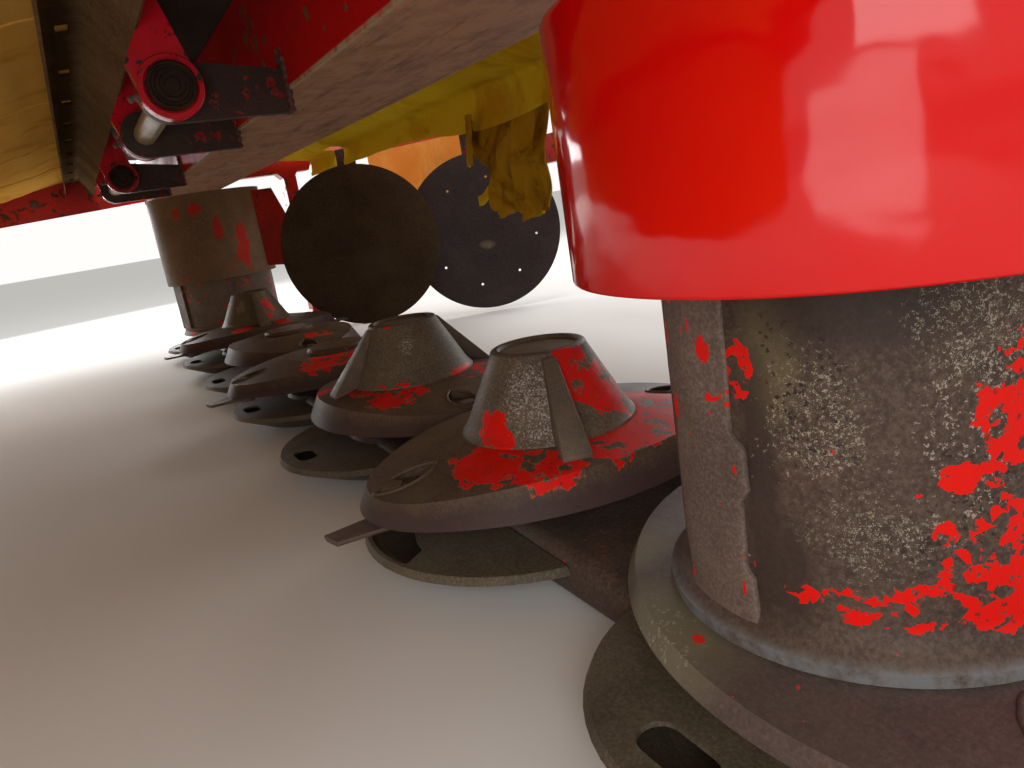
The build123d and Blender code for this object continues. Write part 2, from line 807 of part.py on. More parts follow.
def link_arm(ends, x0, x1):
    """An arm with an eye at each end."""
    arm = bar_between(ends[0], ends[1], arm_depth, x0, x1)
    for y, z in ends:
        arm += rod_x(link_eye_radius, x0, x1, y, z)
    for y, z in ends:
        arm -= rod_x(link_pin_radius + running_gap, x0, x1, y, z)
    return arm


def lower_arms():
    lower, _ = link_ends()
    half = lower_arm_thick / 2
    return on_both_sides(link_arm(lower, lower_arm_x - half, lower_arm_x + half))


def top_arm():
    _, top = link_ends()
    return link_arm(top, -top_arm_thick / 2, top_arm_thick / 2)


def clevis(middle_x, outline, y, z, half, thick):
    """Two plates and the pin that they hold at y and z."""
    parts = rod_x(link_pin_radius, middle_x - half - thick - 8, middle_x + half + thick + 8, y, z)
    for x0 in (middle_x - half - thick, middle_x + half):
        parts += side_plate(outline, x0, x0 + thick) + rod_x(link_eye_radius, x0, x0 + thick, y, z)
    return parts


def tower_lug():
    """The lug on the beam that holds the front end of a lower arm."""
    (y, z), _ = link_ends()[0]
    outline = [(beam_rear + 10, beam_top), (beam_rear + 142, beam_top), (y + 14, z + link_eye_radius - 2),
               (y - 32, z - 16)]
    return clevis(lower_arm_x, outline, y, z, lower_arm_thick / 2 + side_play, lug_thick)


def link_tower():
    """The portal over the gearbox that holds the front end of the top arm."""
    (y, z), _ = link_ends()[1]
    rear, front = beam_rear + 2, beam_rear + 2 + tower_leg
    half = gearbox_width / 2 + 40
    low, high = beam_top + gearbox_height + tower_headroom, z + link_eye_radius - 6
    frame = block(-half - tower_leg, half + tower_leg, rear, front, low, high)
    for side in (-1, 1):
        x0 = min(side * half, side * (half + tower_leg))
        frame += block(x0, x0 + tower_leg, rear, front, beam_top, high)
    frame = chamfer(frame.edges().filter_by(Axis.Y), 8)
    outline = [(rear + 10, low + 8), (rear + 10, high), (y, z + link_eye_radius), (y, z - link_eye_radius)]
    return frame + clevis(0, outline, y, z, top_arm_thick / 2 + side_play, lug_thick)


def headstock():
    """The frame for the tractor's three links, with the clevises of the arms."""
    lower, top = link_ends()
    half = head_tube / 2
    high = hitch_z + mast_height
    front = hitch_y + half
    side = hitch_shoulder - 4
    leg = [(side, hitch_z - half), (side, lower[1][1] + 60), (75, high + 14),
           (-75, high + 14), (-side, lower[1][1] + 60), (-side, hitch_z - half)]
    side = hitch_shoulder - 108
    window = [(side, hitch_z + half), (side, lower[1][1] + 20), (22, high - 72),
              (-22, high - 72), (-side, lower[1][1] + 20), (-side, hitch_z + half)]
    frame = Plane.XZ * (Polygon(*leg, align=None) - Polygon(*window, align=None))
    frame = Pos(0, front, 0) * extrude(frame, amount=head_tube, dir=(0, -1, 0))
    for side in (-1, 1):
        outline = [(front - 4, lower[1][1] - 70), (front - 4, lower[1][1] + 60),
                   (lower[1][0], lower[1][1] + link_eye_radius), (lower[1][0], lower[1][1] - link_eye_radius)]
        frame += clevis(side * lower_arm_x, outline, *lower[1], lower_arm_thick / 2 + side_play, lug_thick)
        x0, x1 = sorted((side * (hitch_shoulder - 10), side * (hitch_shoulder + hitch_pin_length)))
        frame += rod_x(hitch_pin_radius, x0, x1, hitch_y, hitch_z)
        x0, x1 = sorted((side * (hitch_shoulder - 10), side * hitch_shoulder))
        frame += rod_x(2 * hitch_pin_radius, x0, x1, hitch_y, hitch_z)
        x0, x1 = sorted((side * top_ear_gap / 2, side * (top_ear_gap / 2 + top_ear_thick)))
        ear = side_plate([(front - 10, high - 50), (hitch_y - 62, high - 26), (hitch_y - 62, high + 26),
                          (front - 10, high + 12)], x0, x1)
        ear += rod_x(2 * top_bore_radius, x0, x1, hitch_y - top_bore_setback, high)
        frame += ear
    outline = [(front - 4, top[1][1] + 30), (front - 4, high), (top[1][0], top[1][1] + link_eye_radius),
               (top[1][0], top[1][1] - link_eye_radius)]
    frame += clevis(0, outline, *top[1], top_arm_thick / 2 + side_play, lug_thick)
    return frame - rod_x(top_bore_radius, -head_tube, head_tube, hitch_y - top_bore_setback, high)


def square_tube(size, wall, low, high):
    inner = size / 2 - wall
    outer = block(-size / 2, size / 2, -size / 2, size / 2, low, high)
    return outer - block(-inner, inner, -inner, inner, low, high)


def stand_leg():
    """A square leg about its own centre line, with a flat foot and holes for the locking pin."""
    leg = square_tube(stand_tube, stand_wall, foot_thick, stand_top)
    for i in range(stand_hole_count):
        z = sleeve_bottom - (i + 1) * stand_hole_pitch
        leg -= Pos(0, 0, z) * Rot(90, 0, 0) * Cylinder(stand_hole_radius, 2 * stand_tube)
    return leg + block(-foot_size / 2, foot_size / 2, -foot_size / 2, foot_size / 2, 0, foot_thick)


def sleeve_size():
    return stand_tube + 2 * (stand_play + sleeve_wall)


def stand_bracket():
    """The sleeve of a leg, with the boss of its locking pin on the rear."""
    size = sleeve_size()
    sleeve = square_tube(size, sleeve_wall, sleeve_bottom, sleeve_top)
    boss = Pos(0, -(size + sleeve_boss_length) / 2, (sleeve_bottom + rear_rail_bottom) / 2)
    return sleeve + boss * Rot(90, 0, 0) * Cylinder(sleeve_boss_radius, sleeve_boss_length)


def write_discs():
    for number, kind, drum_radius, ring_width, drum_top, turn in disc_table:
        place = Pos(disc_x(number), 0, 0) * Rot(0, 0, turn)
        write_node(f"disc_{number}", place * disc_shape(kind, drum_radius, ring_width))
        write_node(f"blades_{number}", *[place * blade for blade in blade_pair()])
        if kind == "cone":
            write_node(f"cone_{number}", place * crop_cone())
        if kind == "drum":
            write_node(f"drum_{number}", place * crop_drum(drum_radius, ring_width, drum_top))


def write_bar():
    numbers = range(1, disc_count + 1)
    write_node("cutter_bar", cutter_bar())
    write_node("disc_hubs", *[disc_hub(number) for number in numbers])
    write_node("skid_shoes", *[skid_shoe(number) for number in numbers])
    write_node("bar_hangers", *on_both_sides(bar_hanger()))


def write_beam():
    write_node("beam", beam())
    write_node("beam_caps", *on_both_sides(beam_cap()))
    write_node("near_shroud", shroud(1, near_shroud_bottom, near_shroud_top))
    write_node("shroud_neck", shroud_neck())
    write_node("far_shroud", shroud(disc_count, far_shroud_bottom, beam_bottom))
    write_node("flap_plate", flap_plate())
    write_node("gearbox", gearbox())
    write_node("side_gearbox", side_gearbox())
    write_node("drive_tube", drive_tube())
    write_node("hinge_ears", *hinge_ears())
    write_node("hinge_pins", *on_both_sides(hinge_pin()))
    write_node("tower_lugs", *on_both_sides(tower_lug()))
    write_node("link_tower", link_tower())


def write_guards():
    write_node("guard_arms", *guard_arms())
    write_node("guard_channel", guard_channel())
    write_node("guard_frame", guard_frame())
    write_node("front_canvas", front_canvas())
    write_node("rear_rail", rear_rail())
    write_node("side_rails", *on_both_sides(side_rail()))
    write_node("diagonal_rails", *on_both_sides(diagonal_rail()))
    write_node("outriggers", *on_both_sides(outrigger()))
    write_node("rear_canvas", rear_canvas())
    write_node("torn_flap", torn_flap())
    write_node("side_curtains", *on_both_sides(side_curtain()))


def write_swath_discs():
    arms = []
    for i, (row, x, y, z, angle) in enumerate(swath_table):
        place = swath_place(x, y, z, angle)
        seat = rear_rail_bottom if row == "front" else rail_bottom
        right, left = on_both_sides(swath_disc(place))
        write_node(f"swath_disc_{row}_right", right)
        write_node(f"swath_disc_{row}_left", left)
        arms += on_both_sides(swath_arm(place, z, seat))
    write_node("swath_arms", *arms)


def write_headstock():
    write_node("lower_arms", *lower_arms())
    write_node("top_arm", top_arm())
    write_node("headstock", headstock())


def write_stands():
    y = -rear_rail_y - rear_rail_size / 2 - sleeve_size() / 2
    write_node("stand_brackets", *[Pos(side * stand_x, y, 0) * stand_bracket() for side in (-1, 1)])
    write_node("stand_left", Pos(-stand_x, y, 0) * stand_leg())
    write_node("stand_right", Pos(stand_x, y, 0) * stand_leg())


if __name__ == "__main__":
    os.makedirs("parts", exist_ok=True)
    write_discs()
    write_bar()
    write_beam()
    write_guards()
    write_swath_discs()
    write_headstock()
    write_stands()
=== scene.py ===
import bpy
import bmesh
import math
from contextlib import contextmanager
from mathutils import Matrix, Vector, noise


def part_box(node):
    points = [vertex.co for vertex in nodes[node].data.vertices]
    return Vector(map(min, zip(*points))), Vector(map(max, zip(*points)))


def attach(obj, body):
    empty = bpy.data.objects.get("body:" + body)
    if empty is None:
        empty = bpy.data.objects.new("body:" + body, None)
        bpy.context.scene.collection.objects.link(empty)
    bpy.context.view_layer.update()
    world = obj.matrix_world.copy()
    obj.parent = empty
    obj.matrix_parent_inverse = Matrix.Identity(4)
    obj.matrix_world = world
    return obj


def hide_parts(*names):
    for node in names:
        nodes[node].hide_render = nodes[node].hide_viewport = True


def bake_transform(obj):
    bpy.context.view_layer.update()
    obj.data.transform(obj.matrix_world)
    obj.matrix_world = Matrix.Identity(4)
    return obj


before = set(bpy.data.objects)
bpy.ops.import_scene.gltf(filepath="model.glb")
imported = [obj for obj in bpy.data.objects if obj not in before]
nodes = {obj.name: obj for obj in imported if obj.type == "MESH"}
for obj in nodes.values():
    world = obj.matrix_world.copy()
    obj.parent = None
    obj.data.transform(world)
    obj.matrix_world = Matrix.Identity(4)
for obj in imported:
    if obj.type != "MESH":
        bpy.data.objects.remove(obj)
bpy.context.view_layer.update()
print("frame loaded")


# camera, at the place the photograph was taken from: low at one end, looking along the bar

cameraSettings = {
    "place": (-1.578, 0.525, 0.392),
    "right": (-0.4912, -0.8570, -0.1560),
    "up": (0.1392, -0.2540, 0.9571),
    "lens": 26.8,
    "sensor": 36,
    "nearest": 0.01,
}


def addCamera():
    right = Vector(cameraSettings["right"]).normalized()
    up = Vector(cameraSettings["up"]).normalized()
    back = right.cross(up).normalized()
    turn = Matrix((right, up, back)).transposed().to_4x4()
    bpy.ops.object.camera_add()
    camera = bpy.context.object
    camera.name = "lowCamera"
    camera.matrix_world = Matrix.Translation(cameraSettings["place"]) @ turn
    camera.data.lens = cameraSettings["lens"]
    camera.data.sensor_width = cameraSettings["sensor"]
    camera.data.clip_start = cameraSettings["nearest"]
    bpy.context.scene.camera = camera


addCamera()
bpy.context.scene.view_settings.view_transform = "Standard"


# node helpers and shader groups that several finishes share

def newGroup(name, outputs, **inputs):
    # a group that takes a vector and some numbers, and gives numbers
    group = bpy.data.node_groups.new(name, "ShaderNodeTree")
    group.interface.new_socket(name="Vector", in_out="INPUT", socket_type="NodeSocketVector")
    for key, value in inputs.items():
        socket = group.interface.new_socket(name=key, in_out="INPUT", socket_type="NodeSocketFloat")
        socket.default_value = value
    for key in outputs:
        group.interface.new_socket(name=key, in_out="OUTPUT", socket_type="NodeSocketFloat")
    return group, group.nodes.new("NodeGroupInput").outputs, group.nodes.new("NodeGroupOutput").inputs


def addNode(tree, kind, settings=None, values=None, links=None):
    node = tree.nodes.new(kind)
    for key, value in (settings or {}).items():
        setattr(node, key, value)
    for key, value in (values or {}).items():
        node.inputs[key].default_value = value
    for key, value in (links or {}).items():
        tree.links.new(value, node.inputs[key])
    return node


def feed(tree, node, values):
    # sets each input of a node, or links it where the value is another node's output
    for key, value in values.items():
        if isinstance(value, bpy.types.NodeSocket):
            tree.links.new(value, node.inputs[key])
        elif value is not None:
            node.inputs[key].default_value = value
    return node


def addMath(tree, operation, first, second=None, clamp=False):
    node = addNode(tree, "ShaderNodeMath", {"operation": operation, "use_clamp": clamp})
    return feed(tree, node, {0: first, 1: second}).outputs[0]


def times(tree, first, second, clamp=False):
    return addMath(tree, "MULTIPLY", first, second, clamp)


def plus(tree, first, second, clamp=False):
    return addMath(tree, "ADD", first, second, clamp)


def minus(tree, first, second, clamp=False):
    return addMath(tree, "SUBTRACT", first, second, clamp)


def addRange(tree, value, low, high, smooth=False, to=(0.0, 1.0)):
    node = addNode(tree, "ShaderNodeMapRange", {"interpolation_type": "SMOOTHSTEP" if smooth else "LINEAR"})
    return feed(tree, node, {
        "Value": value, "From Min": low, "From Max": high, "To Min": to[0], "To Max": to[1]}).outputs[0]


def mixColor(tree, factor, first, second):
    node = addNode(tree, "ShaderNodeMix", {"data_type": "RGBA"})
    first, second = [(*color, 1) if isinstance(color, tuple) else color for color in (first, second)]
    return feed(tree, node, {0: factor, 6: first, 7: second}).outputs[2]


def tinted(tree, color, mask, amount, tint):
    # the color, with an amount of the tint where the mask is high
    return mixColor(tree, times(tree, mask, amount), color, tint)


def addNoise(tree, vector, scale, detail=6, rough=0.55, distortion=0.0):
    node = addNode(tree, "ShaderNodeTexNoise")
    return feed(tree, node, {
        "Vector": vector, "Scale": scale, "Detail": detail, "Roughness": rough, "Distortion": distortion,
    }).outputs["Fac"]


def groupNoise(group, start, factor, *settings):
    # noise at the group's own scale, times a factor
    return addNoise(group, start["Vector"], times(group, start["Scale"], factor), *settings)


def splitVector(tree, vector):
    return addNode(tree, "ShaderNodeSeparateXYZ", links={0: vector}).outputs


def buildChipGroup():
    # paint that is left in islands, more of it where Extra is high, and a thin line round each island
    group, start, end = newGroup("paintChips", ("Paint", "Rim"), Scale=14.0, Left=0.4, Extra=0.0)
    big = addNoise(group, start["Vector"], start["Scale"], 10, 0.62, 0.4)
    fine = times(group, minus(group, groupNoise(group, start, 5.0, 4, 0.6), 0.5), 0.36)
    cells = addNode(group, "ShaderNodeTexVoronoi", links={
        "Vector": start["Vector"], "Scale": times(group, start["Scale"], 5.0)})
    flakes = times(group, minus(group, cells.outputs["Color"], 0.5), 0.34)
    field = plus(group, plus(group, plus(group, big, fine), start["Extra"]), flakes)
    level = minus(group, 0.75, times(group, start["Left"], 0.5))
    depth = minus(group, field, level)
    group.links.new(addRange(group, depth, 0.0, 0.006), end["Paint"])
    away = times(group, addMath(group, "ABSOLUTE", depth), 60.0)
    group.links.new(minus(group, 1.0, away, clamp=True), end["Rim"])
    return group


def buildGrainGroup():
    # mottled metal: a slow cloud, a mottle, a fine grain with pits, stains, and the height of mottle and grain
    group, start, end = newGroup("metalGrain", ("Cloud", "Mottle", "Grain", "Pits", "Stain", "Height"), Scale=9.0)
    cloud = addNoise(group, start["Vector"], start["Scale"], 8, 0.6, 0.2)
    mottle = groupNoise(group, start, 5.5, 9, 0.74, 0.5)
    grain = groupNoise(group, start, 48.0, 6, 0.75)
    stain = groupNoise(group, start, 0.45, 7, 0.68, 1.2)
    for key, value, low, high, smooth in (
            ("Cloud", cloud, 0.3, 0.7, True), ("Mottle", mottle, 0.42, 0.62, True), ("Grain", grain, 0.46, 0.66, False),
            ("Pits", grain, 0.46, 0.34, False), ("Stain", stain, 0.52, 0.72, True)):
        group.links.new(addRange(group, value, low, high, smooth), end[key])
    group.links.new(plus(group, times(group, mottle, 1.2), times(group, grain, 0.5)), end["Height"])
    return group


def buildFleckGroup():
    # small light flecks and scratches, drawn out along one direction by the mapping that feeds it
    group, start, end = newGroup("flecks", ("Mask",), Scale=60.0, Amount=0.3)
    fine = addNoise(group, start["Vector"], start["Scale"], 6, 0.75, 0.8)
    slow = times(group, minus(group, groupNoise(group, start, 0.12, 3, 0.5), 0.5), 0.5)
    level = minus(group, 0.78, times(group, start["Amount"], 0.3))
    group.links.new(addRange(group, minus(group, plus(group, fine, slow), level), 0.0, 0.02), end["Mask"])
    return group


def buildSpeckGroup():
    # small separate dots of uneven shape, more of them where Amount is high
    group, start, end = newGroup("specks", ("Mask",), Scale=200.0, Amount=0.5)
    wobble = addNode(group, "ShaderNodeTexNoise", values={"Detail": 2.0, "Roughness": 0.6}, links={
        "Vector": start["Vector"], "Scale": times(group, start["Scale"], 1.6)})
    push = addNode(group, "ShaderNodeVectorMath", {"operation": "MULTIPLY_ADD"}, {1: (0.006, 0.006, 0.006)},
                   {0: wobble.outputs["Color"], 2: start["Vector"]})
    cells = addNode(group, "ShaderNodeTexVoronoi", links={"Vector": push.outputs[0], "Scale": start["Scale"]})
    chosen = addMath(group, "LESS_THAN", cells.outputs["Color"], start["Amount"])
    dots = addRange(group, cells.outputs["Distance"], 0.46, 0.30)
    group.links.new(times(group, dots, chosen), end["Mask"])
    return group


def buildDustGroup():
    # dust that lies on what faces up, broken by noise
    group, start, end = newGroup("dust", ("Mask",), Scale=8.0, Amount=0.5)
    normal = addNode(group, "ShaderNodeNewGeometry").outputs["Normal"]
    upward = addRange(group, splitVector(group, normal)["Z"], 0.1, 0.95)
    patches = addNoise(group, start["Vector"], start["Scale"], 9, 0.65)
    mask = times(group, upward, addRange(group, patches, 0.35, 0.7))
    group.links.new(times(group, mask, start["Amount"], clamp=True), end["Mask"])
    return group


def buildWeaveGroup():
    # the threads of coated canvas, as a height and a faint shade
    group, start, end = newGroup("canvasWeave", ("Height", "Shade"), Threads=420.0)
    heights = [addNode(
        group, "ShaderNodeTexWave", {"bands_direction": direction},
        {"Distortion": 0.6, "Detail": 1.0, "Detail Scale": 2.0},
        {"Vector": start["Vector"], "Scale": start["Threads"]}).outputs["Fac"] for direction in ("X", "Y")]
    height = times(group, *heights)
    group.links.new(height, end["Height"])
    group.links.new(addRange(group, height, -0.4, 1.0), end["Shade"])
    return group


chipGroup = buildChipGroup()
grainGroup = buildGrainGroup()
fleckGroup = buildFleckGroup()
speckGroup = buildSpeckGroup()
dustGroup = buildDustGroup()
weaveGroup = buildWeaveGroup()
print("shader groups ready")


# building blocks of the finishes

def startMaterial(name):
    material = bpy.data.materials.new(name)
    material.use_nodes = True
    tree = material.node_tree
    shader = tree.nodes["Principled BSDF"]
    coordinates = addNode(tree, "ShaderNodeTexCoord")
    return material, tree, shader, coordinates.outputs["Object"]


def placeGroup(tree, group, vector, **values):
    node = addNode(tree, "ShaderNodeGroup", {"node_tree": group})
    return feed(tree, node, {"Vector": vector, **values}).outputs


def mapVector(tree, vector, scale=(1, 1, 1), place=(0, 0, 0), turn=(0, 0, 0)):
    node = addNode(tree, "ShaderNodeMapping")
    return feed(tree, node, {"Vector": vector, "Scale": scale, "Location": place, "Rotation": turn}).outputs[0]


def addBump(tree, shader, height, strength, distance):
    bump = addNode(tree, "ShaderNodeBump", values={"Strength": strength, "Distance": distance},
                   links={"Height": height})
    tree.links.new(bump.outputs["Normal"], shader.inputs["Normal"])


def zoneLength(tree, vector, place, size):
    # how far a point is from a place, in shares of the zone's half widths
    local = mapVector(tree, vector, [1 / s for s in size], [-p / s for p, s in zip(place, size)])
    return addNode(tree, "ShaderNodeVectorMath", {"operation": "LENGTH"}, links={0: local}).outputs["Value"]


def zoneField(tree, vector, zones):
    # 1 in the middle of the nearest zone, 0 at its edge and below 0 outside
    best = None
    for place, size in zones:
        inside = minus(tree, 1.0, zoneLength(tree, vector, place, size))
        best = inside if best is None else addMath(tree, "MAXIMUM", best, inside)
    return best


def ragged(tree, vector, field, scale, spread, sharp):
    # the field's inside, with its edge broken by noise
    rough = times(tree, minus(tree, addNoise(tree, vector, scale, 8, 0.65), 0.5), spread)
    return times(tree, plus(tree, field, rough), sharp, clamp=True)


def lineMask(tree, vector, planes):
    # 1 along the line where two planes meet, broken by noise; each plane is an axis, a place and a width
    split = splitVector(tree, vector)
    near = []
    for axis, place, width in planes:
        away = addMath(tree, "ABSOLUTE", minus(tree, split[axis], place))
        near.append(minus(tree, 1.0, addMath(tree, "DIVIDE", away, width), clamp=True))
    broken = addRange(tree, addNoise(tree, vector, 60.0, 6, 0.7), 0.3, 0.55)
    return times(tree, times(tree, times(tree, *near), 3.0, clamp=True), broken)


def wornFinish(name, s):
    # steel with a cloud, grain, stains and flecks, with paint left in patches where the finish has paint
    s = {**steelDefaults, **s}
    metal, dark, light = s["metal"]
    material, tree, shader, vector = startMaterial(name)
    shifted = mapVector(tree, vector, place=s["shift"])
    grain = placeGroup(tree, grainGroup, shifted, Scale=s["cloudScale"])
    color = mixColor(tree, grain["Cloud"], metal, dark)
    for key, amount, tint in (
            ("Mottle", 0.4, dark), ("Grain", 0.5, light), ("Pits", 0.6, dark), ("Stain", s["stain"], stainBrown)):
        color = tinted(tree, color, grain[key], amount, tint)
    for zones, tint, amount in s["tints"]:
        mask = ragged(tree, vector, zoneField(tree, vector, zones), s["tintScale"], 0.8, 2.0)
        color = tinted(tree, color, mask, amount, tint)
    for zones, tint, scale, amount in s["speckles"]:
        near = ragged(tree, vector, zoneField(tree, vector, zones), 18.0, 1.6, 1.6)
        specks = placeGroup(tree, speckGroup, vector, Scale=scale, Amount=times(tree, near, amount))
        color = tinted(tree, color, specks["Mask"], near, tint)
    rough = s["rough"]
    height = times(tree, grain["Height"], s["bump"])
    paintMask = None
    if "paint" in s:
        extra = 0.0
        if "paintZones" in s:
            extra = times(tree, zoneField(tree, vector, s["paintZones"]), s["zonePull"])
            extra = addMath(tree, "MINIMUM", addMath(tree, "MAXIMUM", extra, -0.05), s["zoneCap"])
        chips = placeGroup(tree, chipGroup, shifted, Scale=s["chipScale"], Left=s["left"], Extra=extra)
        paint = mixColor(tree, grain["Cloud"], *s["paint"])
        paint = tinted(tree, paint, grain["Stain"], s["paintStain"], stainBrown)
        if s["pits"]:
            pits = placeGroup(tree, speckGroup, vector, Scale=230.0, Amount=s["pits"])
            paint = tinted(tree, paint, pits["Mask"], 0.75, dark)
        paintMask = chips["Paint"]
        color = mixColor(tree, paintMask, color, paint)
        color = tinted(tree, color, chips["Rim"], s["rim"], s["rimColor"])
        height = plus(tree, height, times(tree, paintMask, s["bumpPaint"]))
    if "underside" in s:
        place, tint, shade, amount = s["underside"]
        below = addMath(tree, "LESS_THAN", splitVector(tree, vector)["Z"], place)
        streak = addNoise(tree, mapVector(tree, vector, (1.2, 9, 9)), 5.0, 10, 0.78)
        under = tinted(tree, tint, addRange(tree, streak, 0.52, 0.68), 0.85, shade)
        under = tinted(tree, under, grain["Mottle"], 0.35, shade)
        under = tinted(tree, under, grain["Grain"], 0.3, light)
        bare = ragged(tree, mapVector(tree, vector, (0.5, 1, 1)), below, 5.0, 2.2 - 2 * amount, 4.0)
        bare = times(tree, bare, below)
        color = mixColor(tree, bare, color, under)
        paintMask = times(tree, paintMask, minus(tree, 1.0, bare))
    if "flecks" in s:
        flecks = placeGroup(tree, fleckGroup, mapVector(tree, vector, s["fleckStretch"]),
                            Scale=s["fleckScale"], Amount=s["flecks"])
        color = mixColor(tree, flecks["Mask"], color, s["fleckColor"])
    for place, size, width, tint in s["rings"]:
        away = addMath(tree, "ABSOLUTE", minus(tree, zoneLength(tree, vector, place, size), 1.0))
        ring = minus(tree, 1.0, addMath(tree, "DIVIDE", away, width), clamp=True)
        color = mixColor(tree, times(tree, ring, 3.0, clamp=True), color, tint)
    for planes, tint in s["lines"]:
        color = mixColor(tree, lineMask(tree, vector, planes), color, tint)
    dust = placeGroup(tree, dustGroup, vector, Amount=s["dust"])["Mask"]
    color = mixColor(tree, dust, color, s["dustColor"])
    tree.links.new(color, shader.inputs["Base Color"])
    value = plus(tree, times(tree, minus(tree, grain["Cloud"], 0.5), 0.16), rough)
    if paintMask is not None:
        value = plus(tree, value, times(tree, paintMask, s["paintRough"] - rough))
    value = plus(tree, value, times(tree, dust, 0.4), clamp=True)
    tree.links.new(value, shader.inputs["Roughness"])
    shader.inputs["Specular IOR Level"].default_value = s["specular"]
    if "wave" in s:
        size, amount = s["wave"]
        height = plus(tree, height, times(tree, addNoise(tree, vector, size, 3, 0.5), amount))
    addBump(tree, shader, height, 0.6, 0.001)
    return material


def canvasFinish(name, s):
    # coated canvas: weave, stains, pale streaks and blotches that are partly worn cloth and partly painted highlight,
    # specks and creases
    material, tree, shader, vector = startMaterial(name)
    weave = placeGroup(tree, weaveGroup, vector)
    stain = addRange(tree, addNoise(tree, vector, s["stainScale"], 9, 0.66, 0.9), 0.46, 0.66, True)
    streak = addRange(tree, addNoise(tree, mapVector(tree, vector, s["streak"]), 5.0, 10, 0.74, 0.8), 0.47, 0.66)
    speck = placeGroup(tree, fleckGroup, vector, Scale=70.0, Amount=0.3)
    color = mixColor(tree, stain, s["cloth"], s["stained"])
    # the pale streaks and blotches: partly cloth worn pale, partly painted highlight on the canvas
    color = tinted(tree, color, streak, s["wear"], s["pale"])
    color = tinted(tree, color, weave["Shade"], 0.2, s["pale"])
    color = tinted(tree, color, speck["Mask"], 0.5, s["stained"])
    tree.links.new(color, shader.inputs["Base Color"])
    tree.links.new(addRange(tree, stain, 0.0, 1.0, to=(0.8, 1.0)), shader.inputs["Roughness"])
    shader.inputs["Specular IOR Level"].default_value = 0.0
    creases = addNode(
        tree, "ShaderNodeTexNoise", {"noise_type": "RIDGED_MULTIFRACTAL"},
        {"Scale": 7.0, "Detail": 5.0, "Roughness": 0.5, "Distortion": 0.6},
        {"Vector": mapVector(tree, vector, s["creases"], turn=(0.5, 0.3, 0.7))})
    fold = addRange(tree, creases.outputs["Fac"], 0.6, 1.6)
    addBump(tree, shader, plus(tree, times(tree, weave["Height"], 0.12), times(tree, fold, 1.2)), 0.5, 0.002)
    return material


# floor and soft lights

lightSettings = {
    # name: place, what it points at, size, watts
    "openEnd": ((-3.4, 1.7, 1.3), (-1.2, 0.2, 0.4), (1.8, 1.4), 34),
    "overhead": ((0.3, 0.4, 4.2), (0, 0, 0.4), (4, 3), 95),
    "rear": ((1.2, -3.6, 1.6), (0.3, 0, 0.4), (3, 2), 70),
    "farEnd": ((3.8, 0.8, 1.2), (1.0, 0.1, 0.4), (2, 1.6), 60),
    "underGuard": ((-1.80, 0.80, 0.30), (-0.6, 0.2, 0.25), (0.5, 0.3), 1.2),
}
floorSettings = {"size": 60, "color": (0.78, 0.77, 0.74), "bounce": (0.50, 0.46, 0.41), "roughness": 0.85}
worldSettings = {"color": (1.0, 0.99, 0.97, 1), "light": 0.60, "seen": 1.0}


def addLights():
    for name, (place, target, size, watts) in lightSettings.items():
        bpy.ops.object.light_add(type="AREA", location=place)
        lamp = bpy.context.object
        lamp.name = name
        lamp.data.shape = "RECTANGLE"
        lamp.data.size, lamp.data.size_y = size
        lamp.data.energy = watts
        lamp.rotation_euler = (Vector(target) - Vector(place)).to_track_quat("-Z", "Y").to_euler()


def seenItself(tree):
    # 1 where the camera sees it, also in a reflection, and 0 for the light it gives
    path = addNode(tree, "ShaderNodeLightPath")
    return addMath(tree, "MAXIMUM", path.outputs["Is Camera Ray"], path.outputs["Is Glossy Ray"])


def addFloor():
    s = floorSettings
    bpy.ops.mesh.primitive_plane_add(size=s["size"])
    floor = bpy.context.object
    floor.name = "floor"
    material, tree, shader, _ = startMaterial("paleFloor")
    tree.links.new(mixColor(tree, seenItself(tree), s["bounce"], s["color"]), shader.inputs["Base Color"])
    shader.inputs["Roughness"].default_value = s["roughness"]
    floor.data.materials.append(material)


def addWorld():
    s = worldSettings
    world = bpy.data.worlds.new("softSky")
    bpy.context.scene.world = world
    world.use_nodes = True
    tree = world.node_tree
    background = tree.nodes["Background"]
    background.inputs["Color"].default_value = s["color"]
    strength = addRange(tree, seenItself(tree), 0.0, 1.0, to=(s["light"], s["seen"]))
    tree.links.new(strength, background.inputs["Strength"])


addLights()
addFloor()
addWorld()
print("lights, floor and world ready")


# colours, and the finishes made of them

brownDark = (0.042, 0.028, 0.023)
stainBrown = (0.040, 0.030, 0.024)
rimBrown = (0.22, 0.10, 0.07)
olive = (0.150, 0.115, 0.060)
oldRed = ((0.80, 0.010, 0.006), (0.66, 0.010, 0.006))
paintRedDeep = (0.42, 0.006, 0.005)
dustTan = (0.33, 0.25, 0.17)
paleWear = (0.52, 0.42, 0.28)
fleckPale = (0.52, 0.48, 0.38)
silver = (0.42, 0.37, 0.36)
rimPurple = (0.058, 0.034, 0.034)
ringGrey = (0.165, 0.165, 0.165)

# the middle of each disc, at the height of the floor
axes = {number: sum(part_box(f"disc_{number}"), Vector()) / 2 * Vector((1, 1, 0)) for number in range(1, 8)}


def onRing(number, angle, reach, height):
    turn = math.radians(angle)
    return axes[number] + Vector((reach * math.cos(turn), reach * math.sin(turn), height))


def around(number, patches):
    # zones about a disc's axis: angle, distance and height, then half widths along x, y and z
    return [(onRing(number, angle, reach, height), size) for angle, reach, height, size in patches]


# what a finish has where its own table says nothing; a metal is its colour, the dark and the light in it, and a
# paint is its colour and the worn one
steelDefaults = {
    "bumpPaint": 0.4, "dust": 0.1, "dustColor": dustTan, "lines": [], "paintStain": 0.3, "pits": 0.25, "rim": 0.5,
    "rimColor": rimBrown, "rings": [], "shift": (0, 0, 0), "speckles": [], "specular": 0.26, "stain": 0.4,
    "tintScale": 30.0, "tints": [], "zoneCap": 0.31, "zonePull": 1.1,
}

